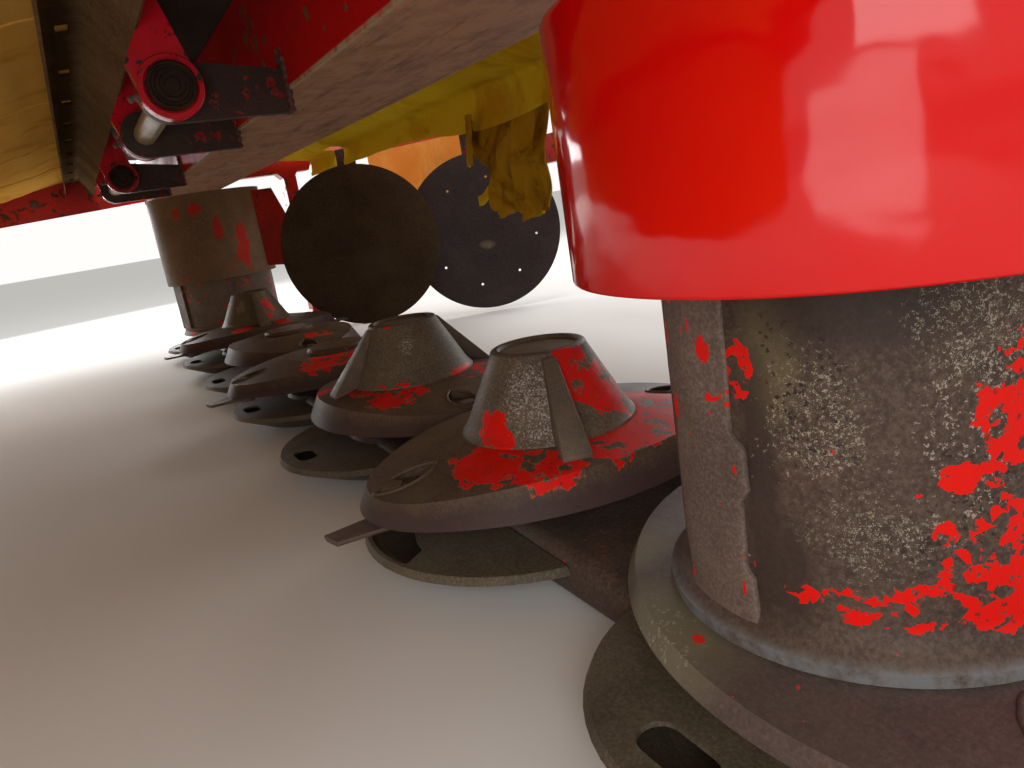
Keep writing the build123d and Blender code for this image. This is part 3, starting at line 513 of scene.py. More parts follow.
steels = {
    "shroudRed": {
        "cloudScale": 2.0, "chipScale": 9.0, "left": 1.1, "paint": ((0.72, 0.003, 0.002), (0.64, 0.003, 0.002)),
        "metal": (paintRedDeep, (0.25, 0.01, 0.01), paintRedDeep), "rimColor": paintRedDeep, "rim": 0.1,
        "rough": 0.3, "paintRough": 0.07, "bump": 0.06, "bumpPaint": 0.02, "specular": 0.4, "paintStain": 0.0,
        "dust": 0.05, "pits": 0, "wave": (9.0, 6.0)},
    "drumSteel": {
        "cloudScale": 6.0, "chipScale": 32.0, "left": 0.05, "zoneCap": 0.225, "specular": 0.10, "paint": oldRed,
        "metal": ((0.108, 0.071, 0.052), brownDark, (0.17, 0.12, 0.092)), "rimColor": (0.34, 0.07, 0.05),
        "rough": 0.5, "paintRough": 0.32, "bump": 0.5, "bumpPaint": 0.5, "flecks": 0.10, "fleckScale": 42.0,
        "fleckStretch": (1, 1, 4.5), "fleckColor": fleckPale, "zonePull": 0.85, "paintStain": 0.0,
        "lines": [([("Z", 0.106, 0.010), ("Z", 0.106, 0.011)], ringGrey)],
        "paintZones": around(1, [
            (158, 0.125, 0.240, (0.026, 0.024, 0.026)), (150, 0.125, 0.216, (0.026, 0.020, 0.010)),
            (156, 0.125, 0.150, (0.056, 0.046, 0.028)), (138, 0.125, 0.143, (0.034, 0.026, 0.018)),
            (121, 0.125, 0.142, (0.030, 0.024, 0.014)), (109, 0.125, 0.146, (0.012, 0.012, 0.010)),
            (159, 0.125, 0.180, (0.030, 0.026, 0.026)), (143, 0.125, 0.186, (0.008, 0.008, 0.008)),
            (146, 0.125, 0.170, (0.012, 0.010, 0.009)),
            (160, 0.125, 0.280, (0.010, 0.012, 0.014)), (96, 0.125, 0.276, (0.011, 0.012, 0.018)),
            (300, 0.125, 0.20, (0.06, 0.05, 0.05)), (20, 0.125, 0.16, (0.05, 0.07, 0.03))]),
        "speckles": [
            (around(1, [(118, 0.125, 0.25, (0.045, 0.04, 0.055)), (150, 0.125, 0.29, (0.06, 0.05, 0.05)),
                        (125, 0.125, 0.19, (0.05, 0.05, 0.04)), (250, 0.125, 0.25, (0.08, 0.08, 0.08)),
                        (10, 0.125, 0.27, (0.08, 0.08, 0.07))]), (0.34, 0.31, 0.23), 580.0, 0.46),
            (around(1, [(112, 0.125, 0.24, (0.05, 0.04, 0.06)), (148, 0.125, 0.24, (0.06, 0.05, 0.09))]),
             (0.34, 0.27, 0.22), 390.0, 0.36),
            (around(1, [(115, 0.125, 0.26, (0.05, 0.05, 0.07)), (150, 0.125, 0.20, (0.06, 0.06, 0.07))]),
             (0.035, 0.022, 0.02), 300.0, 0.40)],
        "tints": [
            (around(1, [(104, 0.125, 0.285, (0.02, 0.02, 0.05))]), olive, 0.6),
            (around(1, [(100, 0.125, 0.20, (0.016, 0.03, 0.12)), (106, 0.125, 0.155, (0.02, 0.03, 0.05)),
                        (130, 0.125, 0.31, (0.10, 0.05, 0.03))]), brownDark, 0.75)]},
    "ribSteel": {
        "cloudScale": 9.0, "chipScale": 40.0, "left": 0.10, "paint": oldRed,
        "metal": ((0.172, 0.120, 0.096), (0.104, 0.073, 0.060), (0.30, 0.23, 0.19)),
        "rimColor": (0.34, 0.07, 0.05), "rough": 0.5, "paintRough": 0.32, "bump": 0.6, "bumpPaint": 0.4,
        "zonePull": 0.6, "paintStain": 0.0, "specular": 0.12,
        "paintZones": around(1, [
            (85, 0.131, 0.287, (0.007, 0.02, 0.015)), (72, 0.131, 0.315, (0.005, 0.02, 0.008)),
            (68, 0.131, 0.29, (0.004, 0.02, 0.012)), (70, 0.131, 0.245, (0.004, 0.02, 0.010)),
            (94, 0.131, 0.216, (0.002, 0.02, 0.006)), (94, 0.131, 0.140, (0.002, 0.02, 0.008)),
            (70, 0.131, 0.128, (0.002, 0.02, 0.006))])},
    "farDrumSteel": {
        "cloudScale": 6.0, "chipScale": 16.0, "left": 0.2, "paint": oldRed,
        "metal": ((0.17, 0.125, 0.085), (0.10, 0.072, 0.05), (0.28, 0.22, 0.16)), "rough": 0.5,
        "paintRough": 0.32, "bump": 0.5, "flecks": 0.2, "fleckScale": 60.0, "fleckStretch": (1, 1, 2.6),
        "fleckColor": fleckPale},
    "endDiscSteel": {
        "cloudScale": 7.0, "chipScale": 40.0, "left": 0.0, "paint": oldRed,
        "metal": ((0.095, 0.062, 0.055), (0.060, 0.040, 0.037), (0.17, 0.12, 0.10)), "rough": 0.45,
        "paintRough": 0.35, "bump": 0.5, "tintScale": 14.0, "zonePull": 0.5, "paintStain": 0.0,
        "speckles": [(around(1, [(75, 0.19, 0.10, (0.08, 0.06, 0.05))]), (0.30, 0.27, 0.19), 280.0, 0.5)],
        "tints": [(around(1, [(72, 0.17, 0.10, (0.09, 0.07, 0.05)), (40, 0.2, 0.10, (0.06, 0.09, 0.05))]),
                   (0.175, 0.155, 0.095), 0.85)],
        "paintZones": around(1, [(60, 0.185, 0.10, (0.010, 0.008, 0.01)), (84, 0.15, 0.10, (0.008, 0.006, 0.01)),
                                 (110, 0.150, 0.10, (0.010, 0.005, 0.01))])},
    "finSteel": {
        "cloudScale": 20.0, "metal": ((0.155, 0.116, 0.078), (0.080, 0.060, 0.042), (0.30, 0.24, 0.17)),
        "rough": 0.5, "bump": 0.8, "flecks": 0.2, "fleckScale": 90.0, "fleckStretch": (1, 1, 0.3),
        "fleckColor": (0.30, 0.27, 0.23)},
    "bladeSteel": {
        "cloudScale": 16.0, "metal": ((0.16, 0.105, 0.080), (0.085, 0.050, 0.042), (0.26, 0.19, 0.15)),
        "rough": 0.5, "bump": 0.7},
    "shoeSteel": {
        "cloudScale": 7.0, "metal": ((0.122, 0.096, 0.064), (0.062, 0.048, 0.033), (0.23, 0.185, 0.125)),
        "rough": 0.5, "bump": 0.6, "stain": 0.7, "dust": 0.35, "specular": 0.12, "dustColor": (0.17, 0.135, 0.085),
        "flecks": 0.12, "fleckScale": 50.0, "fleckStretch": (1, 3, 1), "fleckColor": (0.30, 0.24, 0.15)},
    "framePaint": {
        "cloudScale": 5.0, "chipScale": 18.0, "left": 0.78,
        "paint": ((0.68, 0.022, 0.015), (0.50, 0.020, 0.014)),
        "metal": ((0.13, 0.07, 0.045), (0.06, 0.032, 0.022), (0.22, 0.13, 0.09)),
        "rimColor": (0.20, 0.06, 0.04), "rough": 0.7, "paintRough": 0.3, "bump": 0.4, "dust": 0.4,
        "paintStain": 0.35},
    "beamPaint": {
        "cloudScale": 4.0, "chipScale": 12.0, "left": 0.85,
        "paint": ((0.64, 0.008, 0.008), (0.50, 0.010, 0.010)),
        "metal": ((0.20, 0.115, 0.062), (0.085, 0.045, 0.026), (0.34, 0.22, 0.13)),
        "rimColor": (0.26, 0.08, 0.05), "rough": 0.65, "paintRough": 0.40, "bump": 0.5, "bumpPaint": 0.2,
        "dust": 0.5, "paintStain": 0.25, "specular": 0.10,
        "underside": (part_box("beam")[0].z + 0.0006, (0.54, 0.31, 0.185), (0.13, 0.058, 0.038), 0.85),
        "lines": [([("Y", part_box("beam")[1].y, 0.005), ("Z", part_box("beam")[0].z, 0.005)], paleWear)]},
    "farShroudPaint": {
        "cloudScale": 6.0, "chipScale": 22.0, "left": 0.12,
        "paint": ((0.64, 0.040, 0.022), (0.46, 0.030, 0.018)),
        "metal": ((0.240, 0.150, 0.082), (0.140, 0.088, 0.050), (0.34, 0.24, 0.15)), "rough": 0.5,
        "specular": 0.12, "paintRough": 0.4, "bump": 0.4, "zonePull": 0.6,
        "paintZones": around(7, [(199, 0.181, 0.36, (0.04, 0.035, 0.11)), (160, 0.181, 0.49, (0.03, 0.03, 0.025)),
                                 (140, 0.181, 0.485, (0.015, 0.02, 0.02)), (178, 0.181, 0.42, (0.02, 0.02, 0.05)),
                                 (0, 0.181, 0.40, (0.05, 0.12, 0.10)), (270, 0.181, 0.36, (0.10, 0.05, 0.10))])},
    "flapPaint": {
        "cloudScale": 8.0, "chipScale": 24.0, "left": 0.80,
        "paint": ((0.50, 0.022, 0.012), (0.34, 0.018, 0.010)),
        "metal": ((0.040, 0.022, 0.016), (0.02, 0.012, 0.010), (0.10, 0.05, 0.03)), "rough": 0.6,
        "paintRough": 0.4, "bump": 0.4},
    "channelSteel": {
        "cloudScale": 5.0, "metal": ((0.24, 0.155, 0.080), (0.12, 0.076, 0.042), (0.34, 0.24, 0.14)),
        "rough": 0.6, "bump": 0.4, "dust": 0.0, "specular": 0.0,
        "tints": [([((0, 0.475, 0.660), (2.0, 0.026, 0.016))], (0.075, 0.044, 0.020), 0.9)]},
    "pinSteel": {
        "cloudScale": 20.0, "metal": ((0.46, 0.38, 0.25), (0.26, 0.20, 0.12), (0.64, 0.56, 0.42)),
        "rough": 0.35, "bump": 0.3, "dust": 0.0},
    "pinEndSteel": {
        "cloudScale": 40.0, "metal": ((0.045, 0.026, 0.017), (0.016, 0.010, 0.007), (0.10, 0.065, 0.045)),
        "rough": 0.6, "bump": 0.6, "specular": 0.1, "dust": 0.0},
    "apronRubber": {
        "cloudScale": 6.0, "metal": ((0.050, 0.034, 0.020), (0.026, 0.018, 0.012), (0.11, 0.08, 0.05)),
        "rough": 0.75, "bump": 0.5, "specular": 0.1, "dust": 0.4},
    "earSteel": {
        "cloudScale": 14.0, "metal": ((0.060, 0.034, 0.024), (0.026, 0.015, 0.012), (0.13, 0.075, 0.05)),
        "rough": 0.5, "bump": 0.8, "chipScale": 22.0, "left": 0.2, "paint": (paintRedDeep, (0.25, 0.006, 0.006)),
        "paintRough": 0.35},
    "armPaint": {
        "cloudScale": 9.0, "chipScale": 24.0, "left": 0.82,
        "paint": ((0.78, 0.010, 0.030), (0.58, 0.010, 0.020)),
        "metal": ((0.05, 0.03, 0.022), (0.02, 0.013, 0.010), (0.12, 0.07, 0.05)), "rough": 0.5,
        "paintRough": 0.22, "bump": 0.4},
    "casePaint": {
        "cloudScale": 6.0, "chipScale": 18.0, "left": 0.8, "paint": ((0.10, 0.10, 0.105), (0.07, 0.07, 0.07)),
        "metal": ((0.15, 0.09, 0.06), (0.07, 0.045, 0.035), (0.22, 0.15, 0.11)),
        "rimColor": (0.16, 0.13, 0.11), "rough": 0.7, "paintRough": 0.45, "bump": 0.8, "dust": 0.6},
    "boltSteel": {
        "cloudScale": 60.0, "metal": ((0.20, 0.155, 0.11), (0.08, 0.05, 0.035), (0.36, 0.31, 0.25)),
        "rough": 0.45, "bump": 0.4},
    "swathSteel": {
        "cloudScale": 5.0, "metal": ((0.062, 0.040, 0.020), (0.034, 0.021, 0.011), (0.12, 0.080, 0.045)),
        "rough": 0.65, "bump": 0.5, "stain": 0.2, "specular": 0.12,
        "tints": [([((-0.95, -0.35, 0.22), (0.12, 0.12, 0.08)), ((0.95, -0.35, 0.22), (0.12, 0.12, 0.08))],
                   (0.075, 0.052, 0.030), 0.6)]},
    "rearSwathSteel": {
        "cloudScale": 6.0, "metal": ((0.052, 0.038, 0.038), (0.030, 0.022, 0.022), (0.11, 0.085, 0.08)),
        "rough": 0.6, "bump": 0.4, "stain": 0.2, "specular": 0.12,
        "tints": [([((0.80, -0.72, 0.225), (0.03, 0.05, 0.022)), ((-0.80, -0.72, 0.225), (0.03, 0.05, 0.022))],
                   (0.26, 0.20, 0.13), 0.9)]},
    "weldSteel": {
        "cloudScale": 50.0, "chipScale": 60.0, "left": 0.35,
        "paint": ((0.26, 0.010, 0.008), (0.16, 0.010, 0.008)),
        "metal": ((0.12, 0.075, 0.05), (0.05, 0.03, 0.022), (0.22, 0.16, 0.12)), "rough": 0.6,
        "paintRough": 0.3, "bump": 0.5},
}

discSteel = {
    "cloudScale": 7.0, "chipScale": 15.0, "left": 0.02, "paint": oldRed,
    "metal": ((0.128, 0.084, 0.054), (0.060, 0.040, 0.028), (0.21, 0.15, 0.10)), "rough": 0.42,
    "paintRough": 0.50, "bump": 0.45, "bumpPaint": 0.5, "zonePull": 0.75, "paintStain": 0.25,
    "rimColor": (0.26, 0.17, 0.10), "rim": 0.8, "specular": 0.07}
coneSteel = {
    "cloudScale": 8.0, "chipScale": 18.0, "left": 0.02, "paint": oldRed,
    "metal": ((0.150, 0.112, 0.066), (0.085, 0.062, 0.042), (0.28, 0.235, 0.17)), "rough": 0.48,
    "paintRough": 0.44, "bump": 0.6, "bumpPaint": 0.5, "zonePull": 0.9, "paintStain": 0.3,
    "rimColor": (0.26, 0.15, 0.09), "rim": 0.7, "specular": 0.12}

# paint left on the flank of each disc: angle, distance, height and half widths
flankPaint = {
    2: [(122, 0.130, 0.126, (0.068, 0.052, 0.03)), (146, 0.136, 0.123, (0.052, 0.058, 0.03)),
        (178, 0.125, 0.127, (0.046, 0.050, 0.03)), (203, 0.124, 0.128, (0.052, 0.056, 0.03)),
        (228, 0.126, 0.127, (0.060, 0.052, 0.03)), (250, 0.130, 0.126, (0.060, 0.048, 0.03))],
    3: [(148, 0.132, 0.124, (0.046, 0.060, 0.03)), (125, 0.118, 0.128, (0.060, 0.020, 0.02)),
        (105, 0.112, 0.129, (0.050, 0.014, 0.02)), (222, 0.112, 0.129, (0.046, 0.052, 0.03)),
        (64, 0.150, 0.124, (0.024, 0.020, 0.02))],
    4: [(150, 0.125, 0.128, (0.066, 0.070, 0.03)), (175, 0.115, 0.130, (0.066, 0.07, 0.03)),
        (205, 0.13, 0.126, (0.04, 0.05, 0.03))],
    5: [(200, 0.130, 0.128, (0.030, 0.05, 0.02)), (20, 0.140, 0.128, (0.04, 0.05, 0.02))],
    6: [(150, 0.130, 0.128, (0.030, 0.040, 0.02)), (205, 0.120, 0.128, (0.04, 0.04, 0.02))],
    7: [(120, 0.180, 0.100, (0.04, 0.03, 0.02)), (300, 0.190, 0.100, (0.05, 0.04, 0.02))],
}
# paint left on the cones
conePaint = {
    2: [(106, 0.090, 0.150, (0.030, 0.022, 0.026)), (118, 0.096, 0.138, (0.022, 0.022, 0.014)),
        (190, 0.070, 0.192, (0.040, 0.036, 0.044)), (206, 0.078, 0.172, (0.044, 0.044, 0.042)),
        (222, 0.088, 0.150, (0.036, 0.040, 0.026)), (178, 0.060, 0.212, (0.022, 0.024, 0.016))],
    3: [(140, 0.100, 0.134, (0.05, 0.04, 0.005)), (215, 0.100, 0.134, (0.04, 0.05, 0.006))],
    6: [(200, 0.080, 0.17, (0.03, 0.03, 0.05)), (20, 0.08, 0.16, (0.03, 0.03, 0.03))],
}
coneSpecks = {
    2: [(136, 0.074, 0.178, (0.044, 0.040, 0.070)), (146, 0.088, 0.150, (0.046, 0.040, 0.040)),
        (320, 0.075, 0.17, (0.05, 0.05, 0.05))],
    3: [(160, 0.07, 0.19, (0.02, 0.02, 0.03)), (20, 0.07, 0.18, (0.03, 0.03, 0.03))],
    6: [(140, 0.07, 0.18, (0.02, 0.02, 0.03))],
}


def buildFinishes():
    made = {name: wornFinish(name, s) for name, s in steels.items()}
    for number in range(2, 7):
        s = dict(discSteel, shift=(0.7 * number, 0, 0), paintZones=around(number, flankPaint[number]))
        s["tints"] = [(around(number, [(100, 0.21, 0.11, (0.06, 0.06, 0.03))]), olive, 0.35),
                      ([((*axes[number].xy, 0.080), (1.2, 1.2, 0.038))], rimPurple, 0.85)]
        made[f"discSteel{number}"] = wornFinish(f"discSteel{number}", s)
    for number in coneSpecks:
        s = dict(coneSteel, shift=(0.9 * number, 0, 0), paintZones=around(number, conePaint[number]))
        s["speckles"] = [(around(number, coneSpecks[number]), silver, 480.0, 0.70),
                         (around(number, coneSpecks[number]), silver, 300.0, 0.45)]
        s["rings"] = [((*axes[number].xy, 0.2185), (0.0485, 0.0485, 0.06), 0.05, brownDark)]
        made[f"coneSteel{number}"] = wornFinish(f"coneSteel{number}", s)
    made["endDiscSteel7"] = wornFinish("endDiscSteel7", dict(discSteel, paintZones=around(7, flankPaint[7])))
    return made


finishes = buildFinishes()

# each cloth's colours are raised above the canvas's own mustard: painted light that stands in for sun shining through
# the thin canvas, most of all in the rear cloth's bright yellow and the side cloth's orange; the pale colour is partly
# painted highlight as well as wear
canvasSettings = {
    "frontCloth": {
        "stainScale": 5.0, "streak": (1.6, 1.6, 1.6), "cloth": (0.86, 0.48, 0.085),
        "stained": (0.68, 0.31, 0.035), "pale": (0.90, 0.62, 0.22), "wear": 0.35, "creases": (1.3, 2.0, 2.0)},
    "rearCloth": {
        "stainScale": 4.0, "streak": (1.4, 1.4, 1.0), "cloth": (0.86, 0.63, 0.025),
        "stained": (0.66, 0.36, 0.012), "pale": (0.88, 0.72, 0.08), "wear": 0.4, "creases": (1.4, 1.4, 1.0)},
    "tornCloth": {
        "stainScale": 8.0, "streak": (4.0, 4.0, 1.0), "cloth": (0.56, 0.33, 0.018),
        "stained": (0.17, 0.070, 0.006), "pale": (0.68, 0.45, 0.05), "wear": 0.35, "creases": (3.0, 3.0, 1.0)},
    "sideCloth": {
        "stainScale": 4.0, "streak": (1.6, 1.6, 1.0), "cloth": (0.78, 0.25, 0.035),
        "stained": (0.56, 0.19, 0.03), "pale": (0.86, 0.48, 0.13), "wear": 0.5, "creases": (2.0, 2.0, 1.0)},
}
for clothName, clothSettings in canvasSettings.items():
    finishes[clothName] = canvasFinish(clothName, clothSettings)

# finishes by node, then by kind of node; all others have the frame's paint
nodeFinish = {
    "cutter_bar": "drumSteel", "disc_hubs": "finSteel", "skid_shoes": "shoeSteel", "beam": "beamPaint",
    "near_shroud": "shroudRed", "far_shroud": "farShroudPaint", "flap_plate": "flapPaint", "gearbox": "casePaint",
    "side_gearbox": "casePaint", "hinge_ears": "earSteel", "hinge_pins": "pinSteel", "rear_canvas": "rearCloth",
    "torn_flap": "tornCloth", "side_curtains": "sideCloth", "guard_arms": "armPaint",
    "guard_channel": "channelSteel", "front_canvas": "frontCloth", "drum_1": "drumSteel",
    "drum_7": "farDrumSteel", "disc_1": "endDiscSteel", "disc_7": "endDiscSteel7",
}
kindFinish = {"disc": "discSteel", "cone": "coneSteel", "blades": "bladeSteel", "swath": "earSteel"}


def finishNodes():
    for name, piece in nodes.items():
        kind, _, number = name.partition("_")
        key = kindFinish.get(kind, "framePaint") + (number if kind in ("disc", "cone") else "")
        piece.data.materials.clear()
        piece.data.materials.append(finishes[nodeFinish.get(name, key)])


finishNodes()
print("finishes on the frame's nodes")


# modelling helpers

def startFresh():
    if bpy.context.object is not None and bpy.context.object.mode != "OBJECT":
        bpy.ops.object.mode_set(mode="OBJECT")
    bpy.ops.object.select_all(action="DESELECT")


def choose(*pieces):
    # selects these pieces alone and makes the first one active
    startFresh()
    for piece in pieces:
        piece.select_set(True)
    bpy.context.view_layer.objects.active = pieces[0]


def addPiece(name, data):
    piece = bpy.data.objects.new(name, data)
    bpy.context.collection.objects.link(piece)
    choose(piece)
    return piece


def setPlace():
    bpy.ops.object.transform_apply(location=True, rotation=True, scale=True)


@contextmanager
def editing():
    # edit mode on the active piece, with everything selected
    bpy.ops.object.mode_set(mode="EDIT")
    bpy.ops.mesh.select_all(action="SELECT")
    yield
    bpy.ops.object.mode_set(mode="OBJECT")


def pick(piece, kind, test):
    # in edit mode, selects the faces or edges that the test takes
    bpy.ops.mesh.select_mode(type=kind)
    bpy.ops.mesh.select_all(action="DESELECT")
    mesh = bmesh.from_edit_mesh(piece.data)
    for item in mesh.faces if kind == "FACE" else mesh.edges:
        if test(item):
            item.select_set(True)
    bmesh.update_edit_mesh(piece.data)


def turnOutward():
    with editing():
        bpy.ops.mesh.normals_make_consistent(inside=False)


def addModifier(piece, kind, **settings):
    modifier = piece.modifiers.new(kind.lower(), kind)
    for key, value in settings.items():
        setattr(modifier, key, value)


def addBevel(piece, width, segments, angle=60):
    addModifier(piece, "BEVEL", width=width, segments=segments, limit_method="ANGLE", angle_limit=math.radians(angle))


def applyModifiers(piece):
    for modifier in list(piece.modifiers):
        bpy.ops.object.modifier_apply(modifier=modifier.name)


def finishPiece(piece, name, body, finish, angle=35, replaces=()):
    piece.name = piece.data.name = name
    choose(piece)
    setPlace()
    applyModifiers(piece)
    bpy.ops.object.shade_smooth_by_angle(angle=math.radians(angle))
    piece.data.materials.clear()
    piece.data.materials.append(finishes[finish])
    if body:
        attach(piece, body)
    if replaces:
        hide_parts(*replaces)
    return piece


def joined(pieces):
    choose(*pieces)
    if len(pieces) > 1:
        bpy.ops.object.join()
    return bpy.context.object


def spunPiece(name, profile, steps):
    # a closed profile of radius and height, spun about the upright axis through the origin
    mesh = bpy.data.meshes.new(name)
    count = len(profile)
    mesh.from_pydata([(r, 0, z) for r, z in profile], [(i, (i + 1) % count) for i in range(count)], [])
    piece = addPiece(name, mesh)
    with editing():
        bpy.ops.mesh.spin(steps=steps, angle=2 * math.pi, center=(0, 0, 0), axis=(0, 0, 1))
        bpy.ops.mesh.select_all(action="SELECT")
        bpy.ops.mesh.remove_doubles(threshold=0.00001)
        bpy.ops.mesh.delete_loose()
        bpy.ops.mesh.select_all(action="SELECT")
        bpy.ops.mesh.normals_make_consistent(inside=False)
    return piece


def copiesOf(master, spots):
    # copies of a piece at each spot: place, direction of its local Z, size
    copies = []
    for place, direction, size in spots:
        copy = master.copy()
        copy.data = master.data.copy()
        bpy.context.collection.objects.link(copy)
        turn = Vector(direction).to_track_quat("Z", "Y").to_matrix().to_4x4()
        copy.matrix_world = Matrix.Translation(place) @ turn @ Matrix.Scale(size, 4)
        copies.append(copy)
    return joined(copies)


def spunAt(spots, name, profile, steps):
    # the spun profile once at each spot
    master = spunPiece(name, profile, steps)
    piece = copiesOf(master, spots)
    bpy.data.objects.remove(master)
    return piece


def ease(value, low, high):
    # 0 at low, 1 at high, smooth between
    share = min(max((value - low) / (high - low), 0), 1)
    return share * share * (3 - 2 * share)


def band(value, low, lowFull, highFull, high):
    # 1 between the inner two places, 0 outside the outer two, smooth between
    return ease(value, low, lowFull) * ease(-value, -high, -highFull)


# the near shroud, as a smooth skirt with a rolled edge

shroudSettings = {"segments": 192, "wall": 0.005, "edge": 0.0021, "lidEdge": 0.006, "wave": 0.0007}


def makeNearShroud():
    s = shroudSettings
    low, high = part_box("near_shroud")
    startFresh()
    bpy.ops.mesh.primitive_cylinder_add(vertices=s["segments"], radius=(high.x - low.x) / 2,
                                        depth=high.z - low.z, location=(low + high) / 2, end_fill_type="NGON")
    piece = bpy.context.object
    setPlace()
    with editing():
        pick(piece, "FACE", lambda face: face.normal.z < -0.9)
        bpy.ops.mesh.delete(type="ONLY_FACE")
        pick(piece, "FACE", lambda face: face.normal.z > 0.9)
        bpy.ops.mesh.bevel(offset=s["lidEdge"], segments=4, affect="EDGES")
        pick(piece, "FACE", lambda face: abs(face.normal.z) < 0.1)
        bpy.ops.mesh.subdivide_edgering(number_cuts=6)
    middle = (low + high) / 2
    for vertex in piece.data.vertices:
        # the sheet waves a little, never outward past the frame's size
        side = vertex.co - middle
        side.z = 0
        if side.length > 0.01:
            wave = noise.noise(vertex.co * 9) * 0.5 + 0.5
            vertex.co -= side.normalized() * wave * s["wave"]
    addModifier(piece, "SOLIDIFY", thickness=s["wall"], offset=-1)
    addBevel(piece, s["edge"], 3)
    finishPiece(piece, "nearShroudSkin", "frame", "shroudRed", 40, ["near_shroud"])


# the near drum: a spun wall with a flared foot, and two ribs with knocked edges

drumSettings = {
    "steps": 144, "wall": 0.005, "foot": 0.138, "ledge": 0.013, "edge": 0.001, "footHeight": 0.0095,
    "flare": 0.022, "flareSteps": 6, "flarePower": 2.2, "wallRows": 12, "lidEdge": 0.004,
    "ribColumns": 14, "ribRows": 80, "ribWidth": 0.062, "ribProud": 0.0055, "ribTurn": 80, "ribGap": 0.010,
    "ribTop": 0.012, "ribThick": 0.005, "ribEdge": 0.0012, "ribLeast": 0.0012,
    # its right edge, by rise: it stands out below the step, and is knocked in at the notch
    "step": 0.0095, "stepAt": (0.370, 0.405), "notch": 0.0060, "notchAt": (0.110, 0.135, 0.265, 0.285),
    "thinAbove": (0.38, 0.46), "thin": 0.6, "dent": 0.0026, "dentAt": (0.10, 0.20, 0.22, 0.34), "narrow": 0.007,
    # how far its left edge, its sides and its face are knocked about
    "wear": (0.003, 0.0010, 0.0008),
}


def makeDrum():
    s = drumSettings
    low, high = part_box("drum_1")
    radius, steps, rows = s["foot"] - s["ledge"], s["flareSteps"], s["wallRows"]
    flare = [(radius + (s["foot"] - s["edge"] - radius) * (1 - i / steps) ** s["flarePower"],
              low.z + s["footHeight"] + s["flare"] * i / steps) for i in range(steps + 1)]
    profile = [(radius - s["wall"], low.z), (s["foot"] - s["edge"], low.z), (s["foot"], low.z + s["edge"])]
    profile += [(s["foot"], low.z + s["footHeight"] - s["edge"])] + flare
    profile += [(radius, low.z + (high.z - low.z) * i / rows) for i in range(3, rows)]
    profile += [(radius, high.z - s["lidEdge"]), (radius - s["lidEdge"], high.z), (0, high.z)]
    profile += [(0, high.z - s["wall"]), (radius - s["wall"], high.z - s["wall"])]
    wall = spunPiece("drumWall", profile, s["steps"])
    wall.location = axes[1]
    finishPiece(wall, "drumWall", "disc_body_1", "drumSteel", 35, ["drum_1"])
    ribs = [ribAt(s["ribTurn"] + turn, radius, low.z, high.z, turn) for turn in (0, 180)]
    finishPiece(joined(ribs), "drumRibs", "disc_body_1", "ribSteel", 50)


def ribAt(angle, radius, low, high, seed):
    # a plate on the drum's wall, thin and narrow at its top and knocked about below
    s = drumSettings
    startFresh()
    bpy.ops.mesh.primitive_grid_add(x_subdivisions=s["ribColumns"], y_subdivisions=s["ribRows"], size=1)
    rib = bpy.context.object
    bottom, top = low + s["ribGap"], high - s["ribTop"]
    edgeWear, sideWear, faceWear = s["wear"]
    for vertex in rib.data.vertices:
        across, rise = vertex.co.x, vertex.co.y + 0.5
        z = bottom + (top - bottom) * rise
        right = s["step"] * (1 - ease(rise, *s["stepAt"])) - s["notch"] * band(rise, *s["notchAt"])
        left = edgeWear * noise.noise(Vector((rise * 9 + seed, 0, 3)))
        side = across * (s["ribWidth"] - s["narrow"])
        side += right * max(across + 0.2, 0) / 0.7 if across > -0.2 else 0
        side += left * ease(across, 0, -0.5)
        side += sideWear * noise.noise(Vector((rise * 12 + seed, across * 3, 0)))
        lift = s["ribProud"] * (1 - s["thin"] * ease(rise, *s["thinAbove"]) * ease(across, -0.1, 0.45))
        lift -= s["dent"] * band(rise, *s["dentAt"]) * ease(across, -0.5, 0.1)
        lift += faceWear * noise.noise(Vector((rise * 9 + seed, across * 2.5, 7)))
        vertex.co = onRing(1, angle + math.degrees(side / radius), radius + max(lift, s["ribLeast"]), z)
    turnOutward()
    outward = onRing(1, angle, 1, 0) - axes[1]
    if rib.data.polygons[len(rib.data.polygons) // 2].normal.dot(outward) < 0:
        rib.data.flip_normals()
    addModifier(rib, "SOLIDIFY", thickness=s["ribThick"], offset=-1)
    addBevel(rib, s["ribEdge"], 2)
    applyModifiers(rib)
    return rib


# crop cones with a rounded top and two fins each

coneSettings = {
    "steps": 112, "base": 0.099, "top": 0.053, "low": 0.130, "edge": 0.005, "rows": 7,
    # the foot from the base up and the lid from the top down, as radius and height
    "foot": [(-0.00575, 0), (0.0025, 0), (0.0020, 0.0022), (-0.0012, 0.0048)],
    "lid": [(0.0465, 0), (0.0455, -0.003), (0.0445, -0.004), (0, -0.004), (0, -0.009), (0.0470, -0.009)],
    "finTop": 0.0078, "finFoot": 0.0160, "finEdge": 0.0022, "finReach": 0.1365,
    "finDrop": 0.0065, "finStart": 0.005, "finFootHigh": 0.128, "finHeel": 0.104,
    "finRise": 0.0005, "finTaper": 0.95, "finStep": 0.001,
    "turns": {2: 70, 3: 0, 6: 90},
}


